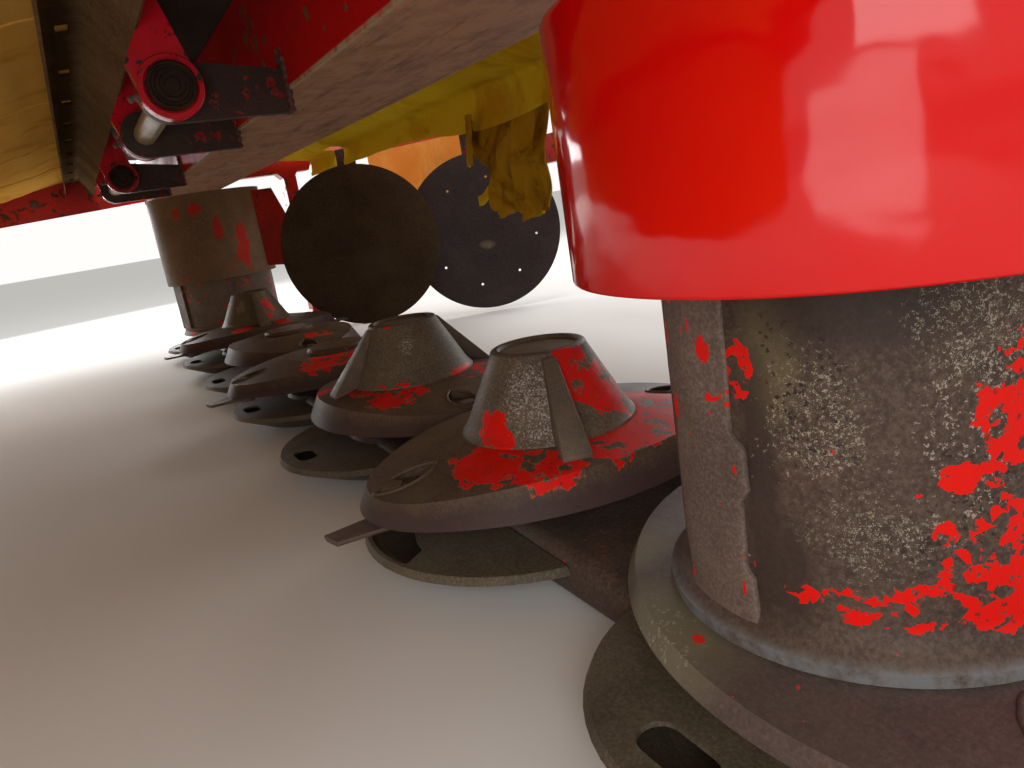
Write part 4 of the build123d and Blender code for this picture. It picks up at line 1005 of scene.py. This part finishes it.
def makeCone(number, finTurn):
    s = coneSettings
    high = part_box(f"cone_{number}")[1].z
    slope = (s["base"] - s["top"]) / (high - s["low"])
    profile = [(s["base"] + r, s["low"] + z) for r, z in s["foot"]]
    for i in range(1, s["rows"] + 1):
        z = s["low"] + (high - s["edge"] - s["low"]) * i / s["rows"]
        profile.append((s["base"] - slope * (z - s["low"]), z))
    startRadius = profile[-1][0]
    for i in range(1, 6):
        turn = math.radians(i * 18)
        profile.append((startRadius - s["edge"] * (1 - math.cos(turn)), high - s["edge"] + s["edge"] * math.sin(turn)))
    profile += [(r, high + z) for r, z in s["lid"]]
    cone = spunPiece("coneShell", profile, s["steps"])
    cone.location = axes[number]
    body = f"disc_body_{number}"
    finishPiece(cone, f"coneShell{number}", body, f"coneSteel{number}", 35, [f"cone_{number}"])
    fins = [finAt(number, finTurn + side, high, slope) for side in (90, 270)]
    finishPiece(joined(fins), f"coneFins{number}", body, "finSteel", 40)


def finAt(number, angle, high, slope):
    # a flat bar that leans on the cone, wider and thicker at its foot
    s = coneSettings
    top = high - s["finStart"]
    root = s["base"] - slope * (top - s["low"])
    outline = [(root - 0.002, top), (root + 0.004, top), (s["finReach"], s["finFootHigh"]),
               (s["finReach"], s["finFootHigh"] - s["finDrop"]), (s["finHeel"], s["low"] + s["finRise"]),
               (s["base"] - 0.004, s["low"] + s["finRise"])]
    half = [s["finTop"]] * 2 + [s["finFoot"]] * 2 + [s["finFoot"] * s["finTaper"]] * 2
    startFresh()
    bpy.ops.mesh.primitive_circle_add(vertices=len(outline), radius=0.01, fill_type="NGON")
    fin = bpy.context.object
    for vertex, (r, z), width in zip(fin.data.vertices, outline, half):
        vertex.co = (r, -width, z)
    with editing():
        bpy.ops.mesh.extrude_region_move(TRANSFORM_OT_translate={"value": (0, s["finStep"], 0)})
    for vertex in fin.data.vertices[len(outline):]:
        vertex.co.y = s["finStep"] - vertex.co.y
    turnOutward()
    addBevel(fin, s["finEdge"], 3, 40)
    applyModifiers(fin)
    fin.matrix_world = Matrix.Translation(axes[number]) @ Matrix.Rotation(math.radians(angle), 4, "Z")
    bpy.context.view_layer.update()
    return fin


makeNearShroud()
makeDrum()
for coneNumber, coneTurn in coneSettings["turns"].items():
    makeCone(coneNumber, coneTurn)
print("shroud, drum and cones made")


# canvases: sheets laid over their line, with hems

def pointOn(line, share):
    # the point and the normal of a line of places at a share of its length
    lengths = [(b - a).length for a, b in zip(line, line[1:])]
    rest = share * sum(lengths)
    for (a, b), length in zip(zip(line, line[1:]), lengths):
        if rest <= length + 1e-9 or b is line[-1]:
            step = (b - a).normalized()
            return a + step * rest, Vector((0, -step.z, step.y))
        rest -= length
    return line[-1], Vector((0, 0, 1))


def rounded(line, radius):
    # the same line with its corners cut back twice, so that the cloth bends softly
    for _ in range(2):
        softer = [line[0]]
        for a, b in zip(line, line[1:]):
            cut = min(radius / (b - a).length, 0.4)
            softer += [a.lerp(b, cut), b.lerp(a, cut)]
        line = softer + [line[-1]]
        radius *= 0.4
    return line


def clothGrid(name, columns, rows, shape):
    # a grid pulled into place: shape gives the place for shares across and along
    startFresh()
    bpy.ops.mesh.primitive_grid_add(x_subdivisions=columns, y_subdivisions=rows, size=1)
    cloth = bpy.context.object
    cloth.name = name
    for vertex in cloth.data.vertices:
        vertex.co = shape(vertex.co.x + 0.5, 0.5 - vertex.co.y)
    return cloth


def wrinkle(x, y, size, seed):
    return noise.noise(Vector((x / size, y / size, seed)))


def makeCloth(cloth, name, body, finish, node, s):
    addModifier(cloth, "SOLIDIFY", thickness=s["thick"], offset=0)
    finishPiece(cloth, name, body, finish, 50, [node] if node else [])


frontSettings = {
    "line": [(0, 0.448, 0.662), (0, 0.503, 0.658), (0, 0.955, 0.572), (0, 0.997, 0.540), (0, 0.997, 0.190)],
    "half": 1.5655, "columns": 250, "rows": 90, "sag": 0.012, "fold": 0.013, "thick": 0.0028, "hem": 0.035,
    "bend": 0.012, "foldWidth": 0.11, "hemProud": 0.0022, "seamGap": 0.52, "seam": 0.022,
    "length": 0.918, "roof": (0.06, 0.12, 0.50, 0.56), "sagTo": 0.50, "hang": (0.66, 1.0), "end": 0.06,
    "crease": 0.004, "fall": 0.006, "gap": 0.0015, "hemTo": 1.002, "hemRows": 6, "seams": 5, "seamEnd": 0.01,
}


def frontShape(across, along, lift=0.0):
    s = frontSettings
    line = rounded([Vector(p) for p in s["line"]], s["bend"])
    place, normal = pointOn(line, along)
    x = (2 * across - 1) * s["half"]
    edge = ease(1 - abs(2 * across - 1), 0, s["end"])
    roof = band(along, *s["roof"])
    middle = math.sin(math.pi * min(max((along - s["roof"][0]) / s["sagTo"], 0), 1))
    low = -s["sag"] * middle * roof * edge * (0.7 + 0.6 * wrinkle(x, along, 0.35, 2))
    low -= s["crease"] * roof * edge * abs(wrinkle(x + along * 0.8, along * 2.2 - x * 0.9, 0.12, 5))
    hang = ease(along, *s["hang"])
    wave = math.sin(x / s["foldWidth"] * 2 + 1.4 * wrinkle(x, along, 0.5, 9)) * 0.5 + 0.5
    push = s["fold"] * hang * wave * (0.6 + 0.8 * abs(wrinkle(x, along, 0.4, 4)))
    fall = s["fall"] * hang * wrinkle(x, 0, 0.3, 6)
    return Vector((x, place.y, place.z + fall)) + normal * (low + s["gap"] + lift) - Vector((0, push, 0))


def makeFrontCanvas():
    s = frontSettings
    cloth = clothGrid("frontCanvas", s["columns"], s["rows"], frontShape)
    makeCloth(cloth, "frontCanvas", "front_guard", "frontCloth", "front_canvas", s)
    # the doubled hem along its foot
    foot = 1 - s["hem"] / s["length"]
    hem = clothGrid("frontHem", s["columns"], s["hemRows"], lambda a, b: frontShape(
        a, foot + (s["hemTo"] - foot) * b, -s["hemProud"]))
    makeCloth(hem, "frontHem", "front_guard", "frontCloth", None, s)
    # seams from the channel down to the foot
    seams = []
    for i in range(s["seams"]):
        middle = 0.5 + (i - (s["seams"] - 1) / 2) * s["seamGap"] / (2 * s["half"])
        seams.append(clothGrid("seam", 4, s["rows"], lambda a, b: frontShape(
            middle + (a - 0.5) * s["seam"] / (2 * s["half"]), s["seamEnd"] + (1 - 2 * s["seamEnd"]) * b,
            -s["hemProud"])))
    seam = joined(seams)
    makeCloth(seam, "frontSeams", "front_guard", "frontCloth", None, s)


rearSettings = {
    "line": [(0, 0.068, 0.6665), (0, -0.140, 0.6285), (0, -0.3085, 0.6105), (0, -0.3085, 0.556)],
    "half": 1.31, "columns": 262, "rows": 56, "sag": 0.020, "thick": 0.0028, "bend": 0.010, "lowEdge": 0.030,
    "lowAt": -0.10, "lowWidth": 0.30, "hemProud": 0.0030, "roof": (0, 0.12, 0.66, 0.82), "end": 0.06,
    "hang": (0.86, 1.0), "holeX": 0.953, "holeHalf": (0.045, 0.055), "holeY": -0.320,
    "crease": 0.003, "fray": 0.006, "push": 0.004, "hemFrom": 0.972, "hemTall": 0.030, "hemRows": 4,
}


def rearShape(across, along):
    s = rearSettings
    line = rounded([Vector(p) for p in s["line"]], s["bend"])
    place, normal = pointOn(line, along)
    x = (2 * across - 1) * s["half"]
    fade = band(along, *s["roof"]) * ease(1 - abs(2 * across - 1), 0, s["end"])
    low = -s["sag"] * math.sin(math.pi * min(along / 0.85, 1)) * fade * (0.75 + 0.5 * wrinkle(x, along, 0.3, 1))
    low -= s["crease"] * fade * abs(wrinkle(x + along, along * 2 - x, 0.1, 8))
    hang = ease(along, *s["hang"])
    drop = -hang * (s["lowEdge"] * math.exp(-((x - s["lowAt"]) / s["lowWidth"]) ** 2)
                    + s["fray"] * abs(wrinkle(x, 0, 0.2, 3)))
    push = hang * (s["push"] + s["fray"] * (wrinkle(x, 0, 0.15, 7) + 0.5))
    return Vector((x, place.y + push, place.z + drop)) + normal * low


def inArmHole(x, y):
    s = rearSettings
    return abs(abs(x) - s["holeX"]) < s["holeHalf"][0] and abs(y - s["holeY"]) < s["holeHalf"][1]


def cutArmHoles(cloth):
    with editing():
        pick(cloth, "FACE", lambda face: inArmHole(*face.calc_center_median().xy))
        bpy.ops.mesh.delete(type="FACE")


def makeRearCanvas():
    s = rearSettings
    cloth = clothGrid("rearCanvas", s["columns"], s["rows"], rearShape)
    cutArmHoles(cloth)
    makeCloth(cloth, "rearCanvas", "frame", "rearCloth", "rear_canvas", s)
    hem = clothGrid("rearHem", s["columns"], s["hemRows"], lambda a, b: rearShape(
        a, s["hemFrom"] + s["hemTall"] * b) + Vector((0, s["hemProud"], 0)))
    cutArmHoles(hem)
    makeCloth(hem, "rearHem", "frame", "rearCloth", None, s)


tornSettings = {
    "top": 0.5585, "left": -0.318, "right": -0.005, "y": -0.3085, "columns": 120, "rows": 110, "thick": 0.0026,
    # how low the torn edge hangs, from left to right
    "edge": [(-0.318, 0.350), (-0.300, 0.344), (-0.262, 0.338), (-0.226, 0.327), (-0.200, 0.343),
             (-0.168, 0.360), (-0.150, 0.345), (-0.130, 0.336), (-0.110, 0.349), (-0.092, 0.358),
             (-0.078, 0.400), (-0.060, 0.437), (-0.040, 0.462), (-0.020, 0.482), (-0.012, 0.530), (-0.005, 0.552)],
    "lowest": 0.3255,
    # frays as size, rate and seed; folds as size, rate, start and drift
    "frays": [(0.0045, 260, 1), (0.003, 700, 4)], "folds": [(0.010, 62, 1.2, 5), (0.007, 131, 0, 3)],
    "rough": 0.010, "out": 0.016, "curl": 0.016, "gap": 0.002,
}


def tornEdge(x):
    points = tornSettings["edge"]
    for (x0, z0), (x1, z1) in zip(points, points[1:]):
        if x <= x1:
            share = (x - x0) / (x1 - x0)
            frays = [size * noise.noise(Vector((x * rate, 0, seed))) for size, rate, seed in tornSettings["frays"]]
            return z0 + share * (z1 - z0) + sum(frays)
    return points[-1][1]


def tornShape(across, along):
    s = tornSettings
    x = s["left"] + across * (s["right"] - s["left"])
    low = max(tornEdge(x), s["lowest"])
    z = s["top"] + (low - s["top"]) * along
    fall = s["top"] - z
    grow = ease(fall, 0, 0.10)
    fold = sum(size * math.sin(x * rate + start + drift * fall) for size, rate, start, drift in s["folds"])
    fold += s["rough"] * wrinkle(x, fall, 0.07, 3)
    curl = s["curl"] * ease(along, 0.82, 1.0) * (0.4 + abs(wrinkle(x, 0, 0.05, 8)))
    return Vector((x, s["y"] + s["gap"] + grow * (s["out"] + fold) + curl, z))


def makeTornFlap():
    s = tornSettings
    cloth = clothGrid("tornFlap", s["columns"], s["rows"], tornShape)
    makeCloth(cloth, "tornFlap", "frame", "tornCloth", "torn_flap", s)
    # the folded strip at its side that hangs loose, and the end of a strap
    strip = clothGrid("tornStrip", 14, 60, lambda a, b: Vector((
        -0.052 + 0.034 * a + 0.010 * b - 0.006 * wrinkle(b, 0, 0.2, 2),
        s["y"] + 0.030 + 0.008 * math.sin(a * 5) + 0.010 * b,
        s["top"] + 0.002 - 0.105 * b + 0.004 * wrinkle(a, 0, 0.3, 5))))
    makeCloth(strip, "tornStrip", "frame", "tornCloth", None, s)
    strap = clothGrid("strapEnd", 8, 24, lambda a, b: Vector((
        -0.085 + 0.062 * b, s["y"] + 0.018 + 0.012 * b,
        0.400 - 0.020 * b + 0.022 * (a - 0.5) + 0.004 * math.sin(b * 6))))
    makeCloth(strap, "strapEnd", "frame", "rearCloth", None, s)


curtainSettings = {
    "start": (1.56, -0.590), "end": (0.84, -0.950), "from": 0.04, "to": 0.95, "low": 0.330, "top": 0.6245,
    "columns": 110, "rows": 44, "fold": 0.012, "thick": 0.0028, "hemProud": 0.0024, "hemFrom": 0.903, "hemTall": 0.1,
    "foldRate": 34, "crease": 0.003, "gap": 0.0016, "fall": 0.004,
}


def curtainShape(side, across, along, lift=0.0):
    s = curtainSettings
    a, b = Vector(s["start"]), Vector(s["end"])
    place = a.lerp(b, s["from"] + (s["to"] - s["from"]) * across)
    normal = Vector((b.y - a.y, a.x - b.x)).normalized()
    z = s["top"] + (s["low"] - s["top"]) * along
    run = (b - a).length * across
    hang = ease(along, 0.05, 1.0)
    wave = 0.5 + 0.5 * math.sin(run * s["foldRate"] + 1.5 * wrinkle(run, along, 0.3, side))
    push = s["fold"] * hang * wave + s["crease"] * hang * wrinkle(run * 2 + along, along - run, 0.12, 3)
    out = normal if normal.dot(place) > 0 else -normal
    place = place + out * (push + s["gap"] + lift)
    return Vector((side * place.x, place.y, z - s["fall"] * wrinkle(run, 0, 0.2, 9) * hang))


def makeSideCurtains():
    s = curtainSettings
    cloths, hems = [], []
    for side in (-1, 1):
        cloths.append(clothGrid("curtain", s["columns"], s["rows"], lambda a, b: curtainShape(side, a, b)))
    cloth = joined(cloths)
    makeCloth(cloth, "sideCurtains", "frame", "sideCloth", "side_curtains", s)
    for side in (-1, 1):
        hems.append(clothGrid("hem", s["columns"], 5, lambda a, b: curtainShape(
            side, a, s["hemFrom"] + s["hemTall"] * b, s["hemProud"])))
    hem = joined(hems)
    makeCloth(hem, "curtainHems", "frame", "sideCloth", None, s)


makeFrontCanvas()
makeRearCanvas()
makeTornFlap()
makeSideCurtains()


# rubber apron that closes the gap between the beam and the guard, bowed over the hinge

apronSettings = {
    "line": [(0, 0.2560, 0.6835), (0, 0.2760, 0.6900), (0, 0.3560, 0.6860), (0, 0.4400, 0.6715), (0, 0.4590, 0.6690)],
    "half": 1.37, "columns": 200, "rows": 22, "thick": 0.003, "bend": 0.012, "wave": 0.004,
    "free": (0.15, 0.35, 0.70, 0.88),
    "blend": ((0, 0.276, 0.686), (0, 0.440, 0.674)),
}


def apronShape(across, along):
    s = apronSettings
    place, normal = pointOn(rounded([Vector(p) for p in s["line"]], s["bend"]), along)
    x = (2 * across - 1) * s["half"]
    free = band(along, *s["free"])
    return Vector((x, place.y, place.z)) + normal * (s["wave"] * free * wrinkle(x, along, 0.16, 2))


def makeApron():
    s = apronSettings
    cloth = clothGrid("gapApron", s["columns"], s["rows"], apronShape)
    makeCloth(cloth, "gapApron", None, "apronRubber", None, s)
    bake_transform(cloth)


makeApron()
print("canvases and apron made")


# swath discs with rolled rims, the rear pair with a ring of holes

swathSettings = {
    "discs": {
        "swath_front_right": (0.918, -0.304, 0.293, 1), "swath_front_left": (-0.918, -0.304, 0.293, -1),
        "swath_rear_right": (0.784, -0.695, 0.271, 1), "swath_rear_left": (-0.784, -0.695, 0.271, -1)},
    "turn": 24, "radius": 0.260, "dish": 0.024, "flat": 0.110, "wall": 0.004, "rim": 0.0022, "steps": 128,
    "hole": 0.0042, "reach": 0.180, "holes": 8, "holeTurn": 11, "holeSides": 16,
    "boss": 0.042, "bossLength": 0.030, "bore": 0.0201, "boreStart": 0.0097,
}


def makeSwathDisc(name, x, y, z, side):
    s = swathSettings
    slope = s["dish"] / (s["radius"] - s["flat"])
    flank = [(s["flat"] + (s["radius"] - s["flat"]) * i / 8, -s["dish"] * i / 8) for i in range(1, 8)]
    profile = [(0, 0), (s["flat"], 0)] + flank
    profile += [(s["radius"] - s["rim"], -s["dish"] + slope * s["rim"]), (s["radius"], -s["dish"] + 0.0006),
                (s["radius"], s["wall"] - s["dish"] - 0.0006), (s["radius"] - 0.0008, s["wall"] - s["dish"])]
    profile += [(r, z + s["wall"]) for r, z in reversed(flank)]
    profile += [(s["flat"], s["wall"]), (s["boss"] + 0.003, s["wall"]), (s["boss"], s["wall"] + 0.003),
                (s["boss"], s["bossLength"] - 0.001), (s["boss"] - 0.001, s["bossLength"]),
                (s["bore"], s["bossLength"]), (s["bore"], s["boreStart"]), (0, s["boreStart"])]
    disc = spunPiece("swathDisc", profile, s["steps"])
    if "rear" in name:
        cutters = []
        for i in range(s["holes"]):
            turn = math.radians(s["holeTurn"] + 360 * i / s["holes"])
            startFresh()
            bpy.ops.mesh.primitive_cylinder_add(
                vertices=s["holeSides"], radius=s["hole"], depth=0.1,
                location=(s["reach"] * math.cos(turn), s["reach"] * math.sin(turn), 0))
            cutters.append(bpy.context.object)
        cutter = joined(cutters)
        addModifier(disc, "BOOLEAN", object=cutter, operation="DIFFERENCE", solver="EXACT")
        choose(disc)
        applyModifiers(disc)
        bpy.data.objects.remove(cutter)
    turn = math.radians(s["turn"])
    axle = Vector((side * math.cos(turn), -math.sin(turn), 0))
    up = Vector((0, 0, 1))
    across = axle.cross(up)
    disc.matrix_world = Matrix.Translation((x, y, z)) @ Matrix((up, across, axle)).transposed().to_4x4()
    finish = "swathSteel" if "front" in name else "rearSwathSteel"
    _, row, hand = name.split("_")
    finishPiece(disc, f"swathDisc{row.title()}{hand.title()}", name, finish, 30,
                [f"swath_disc_{row}_{hand}"])


for discName, (discX, discY, discZ, discSide) in swathSettings["discs"].items():
    makeSwathDisc(discName, discX, discY, discZ, discSide)
print("swath discs made")


# hinge ends, bolt eyes, bolts, welds and small fittings

def tubeAlong(name, points, radius, closed=False, ripple=0.0):
    curve = bpy.data.curves.new(name, "CURVE")
    curve.dimensions = "3D"
    curve.bevel_depth = radius
    curve.bevel_resolution = 2
    curve.use_fill_caps = True
    spline = curve.splines.new("POLY")
    spline.points.add(len(points) - 1)
    for i, (point, place) in enumerate(zip(spline.points, points)):
        point.co = (*place, 1)
        point.radius = 1 + ripple * noise.noise(Vector(place) * 220) + ripple * 0.6 * math.sin(i * 1.7)
    spline.use_cyclic_u = closed
    addPiece(name, curve)
    bpy.ops.object.convert(target="MESH")
    with editing():
        bpy.ops.mesh.remove_doubles(threshold=0.00001)
        bpy.ops.mesh.normals_make_consistent(inside=False)
    return bpy.context.object


def pointsBetween(start, end, step=0.0025):
    start, end = Vector(start), Vector(end)
    count = max(int((end - start).length / step), 2)
    return [start.lerp(end, i / count) for i in range(count + 1)]


hingeSettings = {
    "y": 0.396, "z": 0.548, "faces": (0.3066, 0.6884), "steps": 64, "nippleSteps": 20,
    # from the arm's face to the nipple, and the way it points
    "nippleAt": (0.0100, 0.0315, -0.006), "nippleWay": (0, 1, -0.2),
    "pinEnd": [(0, 0), (0.0238, 0), (0.0242, 0.0006), (0.0242, 0.0100), (0.0230, 0.0114), (0.0208, 0.0114),
               (0.0198, 0.0096), (0.0172, 0.0096), (0.0162, 0.0134), (0.0128, 0.0138), (0.0118, 0.0122),
               (0.0080, 0.0122), (0.0070, 0.0142), (0, 0.0146)],
    "collar": [(0.0256, 0), (0.0326, 0), (0.0326, 0.0022), (0.0316, 0.0034), (0.0268, 0.0034), (0.0256, 0.0024)],
    "nipple": [(0, -0.002), (0.0045, -0.002), (0.0045, 0.003), (0.0028, 0.0042), (0.0028, 0.0065),
               (0.0036, 0.0078), (0.0036, 0.0096), (0.0022, 0.0112), (0, 0.0112)],
}


def makeHinges():
    s = hingeSettings
    ends, nipples = [], []
    inward, front, rise = s["nippleAt"]
    for side in (-1, 1):
        for face, outward in zip(s["faces"], (-1, 1)):
            ends.append(((side * face, s["y"], s["z"]), (side * outward, 0, 0), 1))
            middle = face - outward * inward
            nipples.append(((side * middle, s["y"] + front, s["z"] + rise), s["nippleWay"], 1))
    for name, profile, body, finish, spots in (
            ("pinEnds", s["pinEnd"], "frame", "pinEndSteel", ends),
            ("armCollars", s["collar"], "front_guard", "armPaint", ends),
            ("armNipples", s["nipple"], "front_guard", "boltSteel", nipples)):
        piece = spunAt(spots, name, profile, s["nippleSteps"] if name == "armNipples" else s["steps"])
        finishPiece(piece, name, body, finish, 30)


eyeSettings = {
    "reach": 0.184, "side": 0.0466, "offset": 0.027, "tube": 0.0026, "count": 26, "bolt": 0.200,
    "flank": {"cone": (0.104, 0.130, 0.023), "1": (0.142, 0.102, 0.005), "7": (0.167, 0.102, 0.005)},
    "turns": {1: 155, 2: 90, 3: 0, 4: 90, 5: 0, 6: 90, 7: 0}, "half": 0.235, "depth": 0.004,
    "sink": 0.0004, "ripple": 0.10, "washerSteps": 32,
    "washer": [(0.008, 0), (0.0155, 0), (0.0155, 0.0012), (0.0148, 0.0018), (0.008, 0.0018)],
}


def flankHeight(number, reach):
    s = eyeSettings
    radius, height, drop = s["flank"].get(str(number), s["flank"]["cone"])
    return height - drop * (reach - radius) / (s["half"] - radius)


def makeEyes():
    # a raised lip round each pointed bolt eye, and a worn washer under the nut in it
    s = eyeSettings
    for number, turn in s["turns"].items():
        lips, washers = [], []
        for way in (0, 180):
            angle = math.radians(turn + way)
            spin = Matrix.Rotation(angle, 4, "Z")
            points = []
            reachHalf = math.sqrt(s["side"] ** 2 - s["offset"] ** 2)
            for side in (1, -1):
                for i in range(s["count"]):
                    share = (i + 0.5) / s["count"] * 2 - 1
                    bend = share * math.asin(reachHalf / s["side"])
                    along = s["side"] * math.sin(bend) * side
                    across = (s["side"] * math.cos(bend) - s["offset"]) * side
                    points.append(Vector((s["reach"] + along, across, 0)))
            for point in points:
                point.z = flankHeight(number, math.hypot(point.x, point.y)) - s["sink"]
            placed = [spin @ point + axes[number] for point in points]
            lips.append(tubeAlong("eyeLip", placed, s["tube"], True, s["ripple"]))
            floor = flankHeight(number, s["bolt"]) - s["depth"]
            washers.append((onRing(number, turn + way, s["bolt"], floor), (0, 0, 1), 1))
        finish = "endDiscSteel" if number == 1 else "endDiscSteel7" if number == 7 else f"discSteel{number}"
        finishPiece(joined(lips), f"eyeLips{number}", f"disc_body_{number}", finish, 60)
        piece = spunAt(washers, "washer", s["washer"], s["washerSteps"])
        finishPiece(piece, f"eyeWashers{number}", f"disc_body_{number}", "boltSteel", 30)


boltSettings = {
    "radius": 0.0100, "height": 0.0072, "chamfer": 0.0012, "crown": 0.0004, "washer": 0.0130, "washerHeight": 0.0022,
    "washerEdge": 0.0005,
}
# rows of bolts: their x, y and z places, direction and size; rows whose x is above 0 are mirrored
boltRows = {
    "frame": [
        ((1.560,), (-0.55, -0.25, 0.03, 0.15), (0.6625,), (-1, 0, 0), 1.0),
        ((1.408,), (0.096, 0.241), (0.565, 0.655), (1, 0, 0), 1.0),
        ((0.815,), (-0.42, -0.90), (0.625,), (0, 0, -1), 1.0),
        ((-0.080, 0, 0.080), (0.108, 0.229), (0.882,), (0, 0, 1), 1.0),
        ((-1.306, -1.214), (0.1225, 0.2145), (0.862,), (0, 0, 1), 0.9)],
    "front_guard": [
        ((1.560,), (0.27,), (0.605,), (-1, 0, 0), 1.1), ((1.560,), (0.42,), (0.618,), (-1, 0, 0), 1.1),
        ((1.560,), (0.60,), (0.598,), (-1, 0, 0), 1.1), ((1.560,), (0.78,), (0.570,), (-1, 0, 0), 1.1),
        ([x * 0.24 for x in range(-6, 7)], (0.476,), (0.6693,), (0, 0, 1), 0.8)],
}
# rings of six bolts: centre, radius, direction and size
boltRings = [((-1.26, 0.1, 0.485), 0.146, (0, 0, 1), 1.0), ((-0.144, 0.1685, 0.780), 0.052, (-1, 0, 0), 0.75),
             ((-1.151, 0.1685, 0.780), 0.052, (1, 0, 0), 0.75)]


def boltMaster():
    s = boltSettings
    startFresh()
    bpy.ops.mesh.primitive_cylinder_add(vertices=6, radius=s["radius"], depth=s["height"],
                                        location=(0, 0, s["washerHeight"] + s["height"] / 2))
    head = bpy.context.object
    with editing():
        pick(head, "FACE", lambda face: face.normal.z > 0.9)
        bpy.ops.mesh.inset(thickness=s["chamfer"])
        bpy.ops.transform.translate(value=(0, 0, s["crown"]))
        pick(head, "FACE", lambda face: abs(face.normal.z) < 0.95)
        bpy.ops.mesh.bevel(offset=s["crown"], segments=1, affect="EDGES")
    startFresh()
    bpy.ops.mesh.primitive_cylinder_add(vertices=24, radius=s["washer"], depth=s["washerHeight"],
                                        location=(0, 0, s["washerHeight"] / 2))
    washer = bpy.context.object
    with editing():
        pick(washer, "FACE", lambda face: face.normal.z > 0.9)
        bpy.ops.mesh.bevel(offset=s["washerEdge"], segments=1, affect="EDGES")
    for piece in (head, washer):
        choose(piece)
        setPlace()
    return joined([head, washer])


def mirrored(spots):
    return spots + [((-x, y, z), (-dx, dy, dz), size) for (x, y, z), (dx, dy, dz), size in spots]


def boltSpots(body):
    spots = []
    for xs, ys, zs, direction, size in boltRows[body]:
        row = [((x, y, z), direction, size) for x in xs for y in ys for z in zs]
        spots += mirrored(row) if min(xs) > 0 else row
    return spots


def ringSpots():
    # round the near shroud's lid and both ends of the drive tube
    spots = []
    for i in range(6):
        turn = math.radians(30 + 60 * i)
        across, along = math.cos(turn), math.sin(turn)
        for (x, y, z), radius, direction, size in boltRings:
            step = (radius * across, radius * along, 0) if direction[2] else (0, radius * across, radius * along)
            spots.append(((x + step[0], y + step[1], z + step[2]), direction, size))
    return spots


def makeBolts():
    master = boltMaster()
    for name, body, spots in (("frameBolts", "frame", boltSpots("frame") + ringSpots()),
                              ("guardBolts", "front_guard", boltSpots("front_guard"))):
        finishPiece(copiesOf(master, spots), name, body, "boltSteel", 25)
    bpy.data.objects.remove(master)


stripSettings = {"low": (-1.55, 0.460, 0.6653), "high": (1.55, 0.492, 0.6693), "edge": 0.0008}


def makeStrip():
    # the flat strip that holds the front canvas down on the channel
    s = stripSettings
    low, high = Vector(s["low"]), Vector(s["high"])
    startFresh()
    bpy.ops.mesh.primitive_cube_add(size=1, location=(low + high) / 2, scale=high - low)
    strip = bpy.context.object
    setPlace()
    with editing():
        bpy.ops.mesh.subdivide(number_cuts=2)
    addBevel(strip, s["edge"], 2)
    finishPiece(strip, "canvasStrip", "front_guard", "channelSteel", 40)


weldSettings = {
    "ears": (0.330, 0.345, 0.650, 0.665), "earRise": (0.516, 0.584), "earBead": 0.0036, "beamEnd": 1.4,
    "endBead": 0.0028, "rail": (1.559, -0.311), "railRise": (0.608, 0.644), "railBead": 0.0032,
    "neckHeights": (0.4860, 0.5392), "neck": 0.1108, "neckBead": 0.0034, "neckSteps": 260, "ripple": 0.35,
}


def makeWelds():
    s = weldSettings
    beads = []
    low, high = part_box("beam")

    def addBead(start, end, radius):
        beads.append(tubeAlong("bead", pointsBetween(start, end), radius, False, s["ripple"]))

    for side in (-1, 1):
        for face in s["ears"]:
            addBead(*[(side * face, high.y + 0.0008, z) for z in s["earRise"]], s["earBead"])
        corners = [(low.y, low.z), (high.y, low.z), (high.y, high.z), (low.y, high.z)]
        for start, end in zip(corners, corners[1:] + corners[:1]):
            addBead((side * s["beamEnd"], *start), (side * s["beamEnd"], *end), s["endBead"])
        addBead(*[(side * s["rail"][0], s["rail"][1], z) for z in s["railRise"]], s["railBead"])
    for height in s["neckHeights"]:
        ring = [onRing(1, 360 * i / s["neckSteps"], s["neck"], height) for i in range(s["neckSteps"])]
        beads.append(tubeAlong("bead", ring, s["neckBead"], True, 0.3))
    finishPiece(joined(beads), "weldBeads", "frame", "weldSteel", 60)


fittingSettings = {
    "hitch": (0.4705, -0.625, 0.480), "rod": 0.0036, "half": 0.026, "ring": 0.017, "wire": 0.0018, "steps": 40,
    "breather": [(0, -0.001), (0.009, -0.001), (0.009, 0.008), (0.013, 0.010), (0.013, 0.020), (0.0105, 0.0235),
                 (0, 0.0245)],
    "breatherSpots": [((0.045, 0.1685, 0.882), (0, 0, 1), 1), ((-1.26, 0.1685, 0.862), (0, 0, 1), 0.8)],
}


def makeFittings():
    s = fittingSettings
    x, y, z = s["hitch"]
    parts = []
    for side in (-1, 1):
        rod = pointsBetween((side * x, y, z - s["half"]), (side * x, y, z + s["half"] + 0.006), 0.01)
        parts.append(tubeAlong("linchPin", rod, s["rod"]))
        loop = []
        for i in range(s["steps"]):
            turn = 2 * math.pi * i / s["steps"]
            loop.append(Vector((side * (x + 0.004) + 0.003 * math.sin(turn), y + (s["ring"] + 0.001) * math.sin(turn),
                                z + s["half"] + 0.002 - s["ring"] + s["ring"] * math.cos(turn))))
        parts.append(tubeAlong("linchRing", loop, s["wire"], True))
    finishPiece(joined(parts), "linchPins", "headstock", "boltSteel", 50)
    piece = spunAt(s["breatherSpots"], "breather", s["breather"], 28)
    finishPiece(piece, "breathers", "frame", "boltSteel", 35)


makeHinges()
makeEyes()
makeBolts()
makeStrip()
makeWelds()
makeFittings()
print("hinge ends, eyes, bolts, welds and fittings made")
